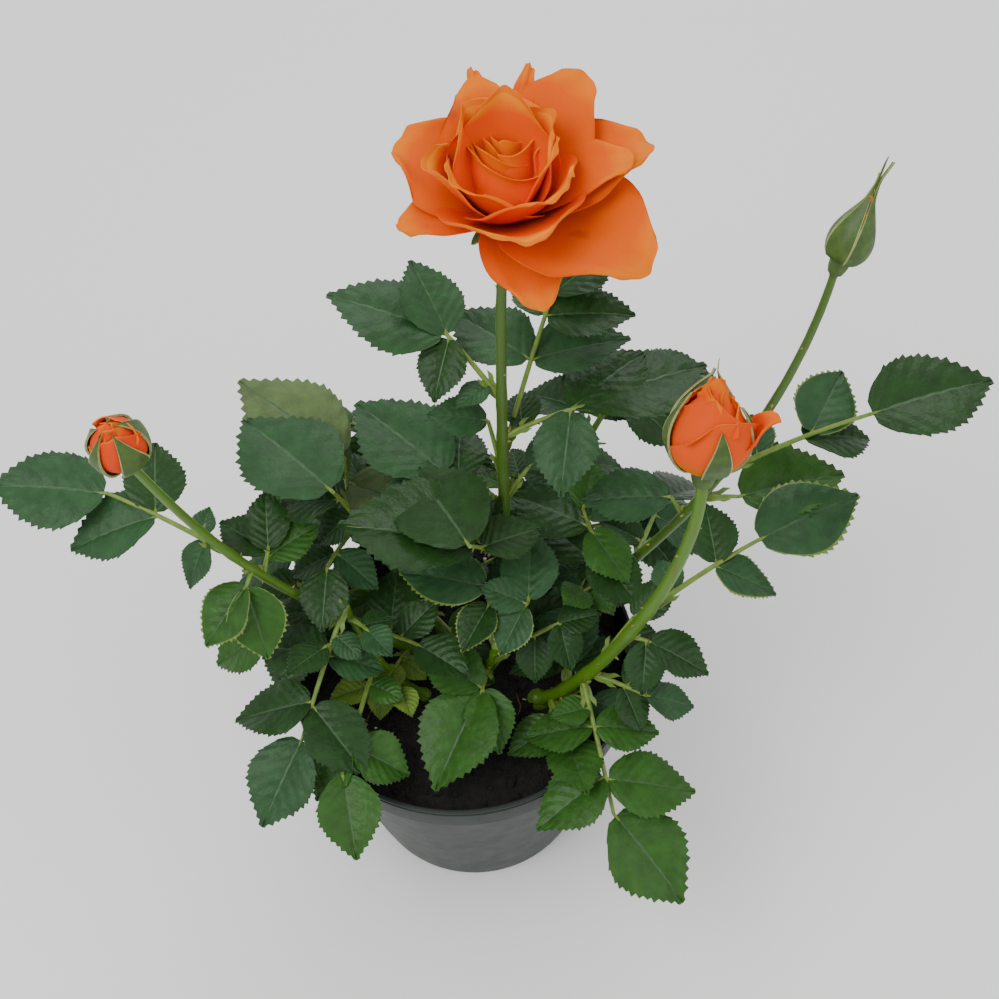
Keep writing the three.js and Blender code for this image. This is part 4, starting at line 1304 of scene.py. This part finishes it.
class ROSE_OT_leaves(bpy.types.Operator):
    """Grow every leaf by the solids' rule: stalk, stipules, prickles and toothed leaflets"""
    bl_idname = "rose.leaves"
    bl_label = "Leaves"

    def execute(self, context):
        settings = context.scene.rose_leaf
        finishes = [living_leaf(f"waxy_leaf_{tint}", getattr(settings, tint), roughness)
                    for tint, roughness in zip(TINTS, TINT_ROUGHNESS)]
        finishes += [
            plain_finish("leaf_vein", LEAF_VEIN, 0.5, 1.5),
            plain_finish("leaf_rim_yellow", settings.rim, 0.55, 1.5),
            living_leaf("leaf_underside", settings.under, 0.6),
        ]
        stalk_finishes = [
            plain_finish("leaf_stalk", settings.stalk, 0.48, 2.5),
            plain_finish("stipule_skin", STIPULE, 0.55, 2.0),
            plain_finish("stalk_prickle", STALK_PRICKLE, 0.5, 1.0),
        ]
        sheet = blade_sheet("flat_leaflet", LEAFLET_MARKS, settings.teeth * ROWS_PER_TOOTH,
                            settings.blade / MM, leaflet_zone)
        stipule = blade_sheet("flat_stipule", STIPULE_MARKS, STIPULE_ROWS, STIPULE_THICKNESS,
                              lambda across, along: STIPULE_SKIN)
        crowd = Crowd()
        grown = [grow_leaf(row, index + 1) for index, row in enumerate(LEAVES)]
        for leaf in grown:
            for leaflet in leaf["leaflets"]:
                crowd.add(leaflet)
        for index, leaf in enumerate(grown):
            add_young_pair(crowd, leaf, seeded_run(YOUNG_SEED + index))
        grown += inner_leaves(crowd)
        for cane in CANES:
            nodes = [f"leaf_{row[0]}" for row in LEAVES if row[1] == cane]
            blades = bmesh.new()
            stalks = bmesh.new()
            for index, leaf in enumerate(grown):
                if leaf["cane"] == cane:
                    run = seeded_run(LEAF_SEED + index)
                    self.add_leaflets(blades, sheet, leaf, settings.teeth, run)
                    self.add_stalk(stalks, leaf)
                    if (leaf["stalk"][-1] - leaf["stalk"][0]).length >= STIPULE_REACH:
                        self.add_stipules(stalks, stipule, leaf)
                        self.add_stalk_prickles(stalks, leaf["stalk"], run)
            finish_piece(blades, f"{cane}_leaflets", nodes, finishes, crease=60)
            finish_piece(stalks, f"{cane}_leaf_stalks", nodes, stalk_finishes)
        for mesh in (sheet, stipule):
            bpy.data.meshes.remove(mesh)
        return {"FINISHED"}

    @staticmethod
    def add_leaflets(bm, sheet, leaf, teeth, run):
        points = sheet_points(sheet)
        vein, yellow, under = range(len(TINTS), len(TINTS) + 3)
        for leaflet in leaf["leaflets"]:
            shared = SHARED_TINTS[int(next(run) * len(SHARED_TINTS))]
            tint = TINTS.index(leaf.get("tint") or LEAF_TINTS.get(leaf["name"], shared))
            if tint < MIXING_TINTS and next(run) < MIXING_CHANCE:
                tint = 1 - tint
            yellowed = leaf["name"] in YELLOW_RIMS and next(run) < YELLOW_CHANCE
            shift = {BLADE: tint, VEIN: vein, RIM: yellow if yellowed else tint, UNDER: under}
            add_shaped(bm, sheet, leaflet_places(points, leaflet, teeth, run), shift)

    @staticmethod
    def add_stalk(bm, leaf):
        """The stalk, and on each leaflet's lower side the midrib that goes on from it."""
        points = leaf["stalk"][::STALK_STRIDE] + [leaf["stalk"][-1]]
        last = len(points) - 1
        radii = [mix(*STALK_RADII, i / last) * (1 + STALK_FOOT_SWELL * max(0, 1 - i / 1.5))
                 for i in range(last + 1)]
        tube(bm, points, radii, STALK_SIDES, STALK_SKIN)
        for root, way, up, length in leaf["leaflets"]:
            sunk = 0.65 + MIDRIB_GROOVE * length
            rib = [root + way * (s * length) - up * (CURL * length * s * s + sunk * min(1, s * 6))
                   for s in MIDRIB_SHARES]
            tube(bm, rib, MIDRIB_RADII, MIDRIB_SIDES, STALK_SKIN)

    @staticmethod
    def add_stipules(bm, stipule, leaf):
        """The two wings on the foot of a stalk, whose lower side has the prickles' browner skin."""
        start = leaf["stalk"][0]
        along = (leaf["stalk"][STIPULE_STEP] - start).normalized()
        side = along.cross(UP).normalized()
        across, way, depth = sheet_points(stipule)
        from_bark = cane_radius(leaf["cane"], leaf["place"])
        width = STIPULE_WIDTH * np.sin(np.pi * (0.08 + 0.86 * way)) ** 0.6
        forward = from_bark + way * STIPULE_LENGTH - 0.8 * (across + 1) * way
        for hand in (1, -1):
            out = hand * (0.5 + width * (across + 1) * 0.75
                          + STIPULE_EAR * smooth(0.6, 1.0, way))
            places = spread_out(start, (forward, along), (out, side),
                                (0.6 * way + depth, side.cross(along)))
            add_shaped(bm, stipule, places, {UNDER: STALK_PRICKLE_SKIN})

    @staticmethod
    def add_stalk_prickles(bm, stalk, run):
        for _ in range(2 + int((stalk[-1] - stalk[0]).length / STALK_PRICKLE_GAP)):
            share = drawn(run, *STALK_PRICKLE_SPAN)
            place = stalk_at(stalk, share)
            lean = (stalk_at(stalk, min(1, share + 0.02)) - place).normalized()
            under = (-UP + lean * UP.dot(lean)).normalized()
            add_prickle(bm, place + under * 0.5, under, -lean,
                        drawn(run, *STALK_PRICKLE_LENGTHS), STALK_PRICKLE_SKIN)


# ---- Blooms ---------------------------------------------------------------------------------

PETAL_MARKS = (0, 0.13, 0.26, 0.39, 0.51, 0.63, 0.75, 0.86, 0.955, 1)
PETAL_ROWS = 20
WRAP_MARKS = tuple(i / 14 for i in range(15))
WRAP_ROWS = 14
SEPAL_MARKS = (0, 0.3, 0.62, 0.9, 1)
SEPAL_ROWS = 18
SEPAL_THICKNESS = 0.7
# How wide a ring the roots of the petals and of the sepals stand on.
PETAL_SPREAD = 2.4
SEPAL_SPREAD = 2.2
# A petal's finishes are face, rim and back: those of an outer petal follow an inner one's.
OUTER = 3
SEPAL_SKIN, SEPAL_DOWN = 0, 1
SEPAL_FINISH = {RIM: SEPAL_DOWN, UNDER: SEPAL_SKIN}
# How far a petal's tip rolls back (degrees) and how much its corners are rounded off.
OUTER_TIP = (24, 0.34)
CUP_TIP = (26, 0.3)
FLARE_TIP = (44, 0.4)
PETAL_LIFT = 1.5
PETAL_STEPS = 201
PETAL_ROLL = (0.7, 0.6)
PETAL_POINT = (0.05, 0.09)
PETAL_SKEW = 0.12
# A bud's laps and folds are given for an egg of this radius.
FULL_EGG = 11
# Shares of the egg's height where its petals start and where it no longer closes.
EGG_START = 0.03
EGG_END = 0.96
EGG_DIP = (0.15, 0.07)
LAYER_STEP = 0.34
# How far below the bloom's foot a bud's petals and its sepals start.
EGG_SINK = 0.6
SEPAL_SINK = 1.2
SEPAL_FLARE = (0.4, 0.9)
OUTER_LAYERS = 3
FOLDED_LAYERS = 4
# The core's lowest and highest share of the height, its rings, and how much of the egg it fills.
CORE_SHARES = (0.04, 0.95, 14)
CORE_FILL = 0.72
CORE_STEPS = HIP_STEPS = 24
HIP_TURNS = [0.1 + 0.62 * i / 8 for i in range(9)]


# The rim faces take their own finishes, which end in the painted golden highlight at the tip.
def petal_zone(across, along):
    return RIM if along > 0.95 or across > 0.955 else BLADE


def sepal_zone(across, along):
    return RIM if across > SEPAL_MARKS[-2] else BLADE


def petal_width(share):
    return 0.12 + 0.88 * np.sin(0.8 * np.pi * share ** 0.8)


def sepal_width(share):
    return (0.72 + share) * (1 - share) ** 0.8 + 0.04


def petal_places(flat, spec, foot, run, rolled=0, rounded=0):
    """Where a flat blade's points go on a petal or sepal that leans out of the bloom's axis."""
    heading, root_lean, tip_lean, length, width, cup = spec
    across, along, depth = flat
    fine = np.linspace(0, 1, PETAL_STEPS)
    bend = rolled * drawn(run, *PETAL_ROLL)
    lean = np.radians(mix(root_lean, tip_lean, fine) + bend * smooth(0.72, 1.0, fine))
    middle = (lean[1:] + lean[:-1]) / 2
    out_run, up_run = (np.concatenate([[0], np.cumsum(part(middle))]) * length / len(middle)
                       for part in (np.sin, np.cos))
    at_lean = np.interp(along, fine, lean)
    spread, width_of = (PETAL_SPREAD, petal_width) if rounded else (SEPAL_SPREAD, sepal_width)
    half = width / 2 * width_of(along) * (1 - rounded * smooth(0.74, 1.0, along) ** 2)
    phase = 2 * math.pi * next(run)
    skew = PETAL_SKEW * either_way(run)
    point = drawn(run, *PETAL_POINT)
    high = smooth(0.3, 0.85, along)
    waves = (0.9 * np.sin(3.1 * across + phase) * along ** 3
             + 0.35 * np.sin(8.7 * across + 2 * phase) * along ** 5)
    face = (cup * half * across ** 2
            - 0.006 * bend * half * smooth(0.6, 1.0, np.abs(across)) ** 2 * high
            + bool(rounded) * waves)
    peak = point * half * np.exp(-((across - 0.1) / 0.3) ** 2) * smooth(0.8, 1.0, along)
    slide = (-(0.22 * along + rounded * smooth(0.6, 1.0, along)) * half * across ** 2
             + skew * half * across * along ** 4 + bool(rounded) * peak)
    shift = face + depth + 0.25
    radial = (spread / 2 + np.interp(along, fine, out_run) + slide * np.sin(at_lean)
              - shift * np.cos(at_lean))
    height = (foot + np.interp(along, fine, up_run) + slide * np.cos(at_lean)
              + shift * np.sin(at_lean))
    return spread_out((0, 0, 0), (radial, direction(heading, 0)),
                      (half * across, direction(heading + 90, 0)), (height, UP))


def wrap_places(flat, wrap, foot, run):
    """Where a flat blade's points go on a petal that wraps round the open bloom's heart."""
    heading, span, radius, top = wrap
    across, along, depth = flat
    turn = np.radians(heading + across * span / 2 * (0.8 + 0.2 * along))
    belly = 0.42 + 0.62 * smooth(0, 0.62, along) + 0.16 * smooth(0.84, 1.0, along) ** 2
    wobble = 1 + (0.03 + 0.3 / radius) * np.sin(2.0 * turn + 6.28 * next(run)) * along
    lap = 1 + (0.16 + 0.5 / radius) * across * along
    wall = radius * belly * wobble * lap - depth
    dip = 0.13 * across ** 2 + 0.04 * np.sin(5 * across + 6.28 * next(run))
    height = foot + (top - foot) * along * (1 - (dip + 0.07 * across) * along ** 2)
    return spread_round(wall, turn, height, [lean * along for lean in HEART_LEAN])


def egg_radius(share, egg):
    """How wide a closed bud is at a share of its height."""
    radius, _, widest, crest = egg
    power = math.log(0.5) / math.log(widest)
    belly = np.sin(np.pi * np.clip(share, 0.0, 1.0) ** power)
    return radius * belly ** np.where(np.asarray(share) < widest, 0.62, crest)


def egg_petal_places(flat, bud, wrap, layer, foot, run):
    """Where a flat blade's points go on a furled petal, some layers below a bud's outermost."""
    heading, span, reach = wrap
    across, along, depth = flat
    egg, tip = bud["egg"], bud["tip"]
    bulk = (egg[0] / FULL_EGG) ** 2
    share = EGG_START + (reach - EGG_START) * along
    dip = (drawn(run, *EGG_DIP) * across ** 2
           + 0.02 * np.sin(5 * across + 6.28 * next(run)))
    share = share - dip * along ** 2
    turn = np.radians(heading + bud["swirl"] * along
                      + across * span / 2 * (1 - 0.2 * along ** 2))
    lap = 0.9 * bulk * smooth(0.2, 1.0, across) * smooth(0.2, 0.8, along)
    fold = (0.5 * bulk * np.sin(5.5 * across + 3 * along + 6.28 * next(run))
            * smooth(0.35, 0.9, along))
    lip = ((2.4 if layer < 2 else 1.5) * bulk * smooth(0.8, 1.0, along) ** 2
           * (0.35 + 0.65 * np.abs(across)))
    wall = (egg_radius(np.minimum(share, EGG_END), egg) - 0.1 - LAYER_STEP * layer
            - 0.8 * (1 - bulk) ** 2)
    kept_open = tip * smooth(0.1, 0.5, share) - 0.25 * layer * (tip > 1)
    wall = np.maximum(wall, kept_open).clip(0.3)
    wall = wall + lap + lip + fold * (layer < FOLDED_LAYERS) - depth
    return spread_round(wall, turn, foot + egg[1] * share)


def egg_sepal_places(flat, bud, sepal, foot, run):
    """Where a flat blade's points go on a sepal that hugs a bud and ends in a thin tail."""
    heading, span, reach = sepal
    across, along, depth = flat
    egg, taper = bud["egg"], bud["taper"]
    share = reach * along
    width = (1 - along) ** taper * (0.86 + 0.5 * along * (1 - along)) + 0.03
    width = np.where(share > 0.9, np.minimum(width, 1.8 * (1 - along) + 0.03), width)
    turn = np.radians(heading + across * span / 2 * width + 14 * either_way(run) * along ** 2)
    flare = drawn(run, *SEPAL_FLARE)
    bulk = min(1, egg[0] / 8)
    drawn_in = np.interp(taper, (0.5, 0.8), (1, 0.88))
    closer = 0.4 * (1 - bulk ** 2 if taper > 0.4 else 0) * (1 - smooth(0.4, 0.75, share))
    hug = bulk * (1.0 + 0.3 * across ** 2) - closer
    wall = np.maximum(egg_radius(share * drawn_in, egg), 0.5) + hug + depth
    wall = wall - 0.6 * smooth(0.9, 1.15, share) + flare * smooth(1.15, 1.5, share)
    return spread_round(wall, turn, foot + egg[1] * share)


def petal_finishes(name, settings, redness):
    """Velvet of petals: face, rim and back of the inner ones, then the same of the outer ones."""
    petal, inner, blush, gold_and_rim_highlight, sepal = (
        np.array(tone) for tone in (settings.petal, settings.inner, settings.blush,
                                    settings.gold_and_rim_highlight, settings.sepal))
    body = mix(petal, blush, redness)
    # The inner petals' brighter body is painted light that makes up for the shade inside the cup.
    inner = mix(inner, blush, redness)
    # A painted highlight: the bright golden colour at the rims and tips.
    bright = mix(body, gold_and_rim_highlight, 0.45)
    sheath = mix(gold_and_rim_highlight, sepal, 0.5 * (redness > 0))
    # Each row gives root, body and tip colour and a bruise. The deep root colour is painted shade;
    # the golden tip colours are painted highlights.
    rows = (
        ("inner_face", settings.root_shade, inner, gold_and_rim_highlight, 0), ("inner_rim", inner, inner, bright, 0),
        ("inner_back", gold_and_rim_highlight, inner, bright, 0), ("outer_face", settings.root_shade, body, bright, 0.5),
        ("outer_rim", body, body, bright, 0), ("outer_back", sheath, body, body, 0.4),
    )
    return [living_petal(f"{name}_{part}", *tones, bruise) for part, *tones, bruise in rows]


def fill_bud(petals, calyx, bud, sheets, foot, run):
    """A bud's furled petals round a core, its flaring petals and the sepals that hug it."""
    petal_sheet, wrap_sheet, sepal_sheet = sheets
    petal_flat, wrap_flat, sepal_flat = map(sheet_points, sheets)
    outer = {zone: zone + OUTER for zone in (BLADE, RIM, UNDER)}
    for layer, wrap in enumerate(reversed(bud["wraps"])):
        places = egg_petal_places(wrap_flat, bud, wrap, layer, foot - EGG_SINK, run)
        add_shaped(petals, wrap_sheet, places, outer if layer < OUTER_LAYERS else None)
    egg = bud["egg"]
    shares = np.linspace(*CORE_SHARES)
    inside = np.maximum(CORE_FILL * egg_radius(shares, egg) - 0.4, 0.1)
    core = [(r, foot + egg[1] * t) for r, t in zip(inside, shares)]
    core = [(0, foot), *core, (0, foot + egg[1] * EGG_END)]
    lathe(petals, core, CORE_STEPS, OUTER + RIM)
    for spec in bud["flares"]:
        places = petal_places(petal_flat, spec, foot, run, *FLARE_TIP)
        add_shaped(petals, petal_sheet, places, outer)
    for sepal in bud["sepals"]:
        places = egg_sepal_places(sepal_flat, bud, sepal, foot - SEPAL_SINK, run)
        add_shaped(calyx, sepal_sheet, places, SEPAL_FINISH)


def fill_open_rose(petals, calyx, bloom, sheets, foot, run):
    """The open rose's outer and inner petals, the wraps of its heart and its spread sepals."""
    petal_sheet, wrap_sheet, sepal_sheet = sheets
    petal_flat, wrap_flat, sepal_flat = map(sheet_points, sheets)
    outer = {zone: zone + OUTER for zone in (BLADE, RIM, UNDER)}
    for rows, tip, shift in ((OUTER_PETALS, OUTER_TIP, outer), (CUP_PETALS, CUP_TIP, None)):
        for spec in rows:
            places = petal_places(petal_flat, spec, foot + PETAL_LIFT, run, *tip)
            add_shaped(petals, petal_sheet, places, shift)
    for wrap in HEART_WRAPS:
        add_shaped(petals, wrap_sheet, wrap_places(wrap_flat, wrap, foot, run))
    for spec in bloom["sepals"]:
        places = petal_places(sepal_flat, spec, CLEARANCE + bloom["hip"][1] * 0.62, run)
        add_shaped(calyx, sepal_sheet, places, SEPAL_FINISH)


def add_hip(bm, radius, height):
    profile = [(0, -CLEARANCE * 2), (radius * 0.42, -CLEARANCE * 2), (radius * 0.55, 0.5)]
    profile += [(radius * (0.62 + 0.38 * math.sin(math.pi * turn)),
                 0.5 + height * (turn - 0.1) * 1.5) for turn in HIP_TURNS]
    lathe(bm, [*profile, (0, profile[-1][1] + 0.1)], HIP_STEPS, SEPAL_SKIN)


def add_bloom(name, context):
    """One bloom: its petals and heart as one piece, and its hip and sepals as another."""
    settings = context.scene.rose_bloom
    bloom = BLOOMS[name]
    run = seeded_run(BLOOM_SEED + sum(map(ord, name)))
    thickness = settings.blade / MM
    sheets = (blade_sheet("flat_petal", PETAL_MARKS, PETAL_ROWS, thickness, petal_zone),
              blade_sheet("flat_wrap", WRAP_MARKS, WRAP_ROWS, thickness, petal_zone),
              blade_sheet("flat_sepal", SEPAL_MARKS, SEPAL_ROWS, SEPAL_THICKNESS, sepal_zone))
    petals = bmesh.new()
    calyx = bmesh.new()
    fill = fill_bud if "egg" in bloom else fill_open_rose
    fill(petals, calyx, bloom, sheets, CLEARANCE + bloom["hip"][1] * 0.8, run)
    add_hip(calyx, *bloom["hip"])
    turn = UP.rotation_difference(Vector(bloom["axis"]).normalized()).to_matrix().to_4x4()
    for bm in (petals, calyx):
        bmesh.ops.transform(bm, matrix=Matrix.Translation(CANES[bloom["cane"]][3]) @ turn,
                            verts=bm.verts)
    finish_piece(petals, f"{name}_bloom", [f"{name}_petals"],
                 petal_finishes(name, settings, bloom["redness"]), crease=70)
    finish_piece(calyx, f"{name}_hip_and_sepals", [f"{name}_calyx"], [
        plain_finish("sepal_skin", settings.sepal, 0.5, 3.0, 0.3),
        plain_finish("sepal_down", settings.sepal_rim, 0.7, 1.0),
    ], crease=60)
    for mesh in sheets:
        bpy.data.meshes.remove(mesh)


class ROSE_OT_open_rose(bpy.types.Operator):
    """Build the open rose at the tip of the main cane"""
    bl_idname = "rose.open_rose"
    bl_label = "Open rose"

    def execute(self, context):
        add_bloom("open_rose", context)
        return {"FINISHED"}


class ROSE_OT_buds(bpy.types.Operator):
    """Build the half-open bud, the closing bud and the tight bud"""
    bl_idname = "rose.buds"
    bl_label = "Buds"

    def execute(self, context):
        for name in ("front_bud", "left_bud", "tall_bud"):
            add_bloom(name, context)
        return {"FINISHED"}


# ---- Stage ----------------------------------------------------------------------------------

class ROSE_OT_stage(bpy.types.Operator):
    """Set the pale floor, the soft studio lights and the camera"""
    bl_idname = "rose.stage"
    bl_label = "Stage"

    def execute(self, context):
        settings = context.scene.rose_stage
        bm = bmesh.new()
        bmesh.ops.create_grid(bm, x_segments=1, y_segments=1, size=FLOOR_HALF)
        mesh = mesh_of(bm, "studio_floor")
        values = {"Roughness": 0.9, "Base Color": (*settings.floor, 1)}
        mesh.materials.append(new_finish("studio_floor", values)[0])
        add_object("studio_floor", mesh)
        self.add_lights(context, settings)
        self.add_camera(context)
        return {"FINISHED"}

    @staticmethod
    def add_lights(context, settings):
        world = bpy.data.worlds.new("studio")
        world.use_nodes = True
        background = world.node_tree.nodes["Background"]
        background.inputs["Color"].default_value = (*STUDIO_WHITE, 1)
        background.inputs["Strength"].default_value = settings.sky
        context.scene.world = world
        for name, place, size, share in LAMPS:
            light = bpy.data.lights.new(f"{name}_light", "AREA")
            light.energy = settings.key * share
            light.size = size
            lamp = add_object(f"{name}_light", light)
            lamp.location = place
            aim = LAMP_AIM - lamp.location
            lamp.rotation_euler = aim.to_track_quat("-Z", "Y").to_euler()

    @staticmethod
    def add_camera(context):
        pitch, yaw, roll = (math.radians(v) for v in (CAMERA_PITCH, CAMERA_YAW, CAMERA_ROLL))
        forward = Vector((math.sin(yaw) * math.cos(pitch), math.cos(yaw) * math.cos(pitch),
                          -math.sin(pitch)))
        level = forward.cross(UP).normalized()
        above = level.cross(forward)
        right = level * math.cos(roll) + above * math.sin(roll)
        top = above * math.cos(roll) - level * math.sin(roll)
        camera = bpy.data.cameras.new("studio_camera")
        camera.lens = CAMERA_LENS
        camera.sensor_width = SENSOR
        camera.clip_start = CLIP_START
        held = add_object("studio_camera", camera)
        place = (Vector(CAMERA_AIM) - forward * CAMERA_DISTANCE) * MM
        held.matrix_world = set_at(place, right, top, -forward)
        context.scene.camera = held


# ---- Panel and running ----------------------------------------------------------------------

SETTINGS = {
    "rose_pot": RosePotSettings, "rose_cane": RoseCaneSettings, "rose_leaf": RoseLeafSettings,
    "rose_bloom": RoseBloomSettings, "rose_stage": RoseStageSettings,
}
OPERATORS = (ROSE_OT_pot, ROSE_OT_peat, ROSE_OT_canes, ROSE_OT_leaves, ROSE_OT_open_rose,
             ROSE_OT_buds, ROSE_OT_stage)


class ROSE_PT_sidebar(bpy.types.Panel):
    """The rose's settings and the operators that build it"""
    bl_idname = "ROSE_PT_sidebar"
    bl_label = "Rose"
    bl_space_type = "VIEW_3D"
    bl_region_type = "UI"
    bl_category = "Rose"

    def draw(self, context):
        for name, group in SETTINGS.items():
            box = self.layout.box()
            for setting in group.__annotations__:
                box.prop(getattr(context.scene, name), setting)
        for operator in OPERATORS:
            self.layout.operator(operator.bl_idname)


CLASSES = (*SETTINGS.values(), *OPERATORS, ROSE_PT_sidebar)


def register():
    for item in CLASSES:
        bpy.utils.register_class(item)
    for name, group in SETTINGS.items():
        setattr(bpy.types.Scene, name, bpy.props.PointerProperty(type=group))


def unregister():
    for name in SETTINGS:
        delattr(bpy.types.Scene, name)
    for item in reversed(CLASSES):
        bpy.utils.unregister_class(item)


def main():
    register()
    bpy.ops.rose.pot()
    bpy.ops.rose.peat()
    bpy.ops.rose.canes()
    bpy.ops.rose.leaves()
    bpy.ops.rose.open_rose()
    bpy.ops.rose.buds()
    bpy.ops.rose.stage()


if __name__ == "__main__":
    main()
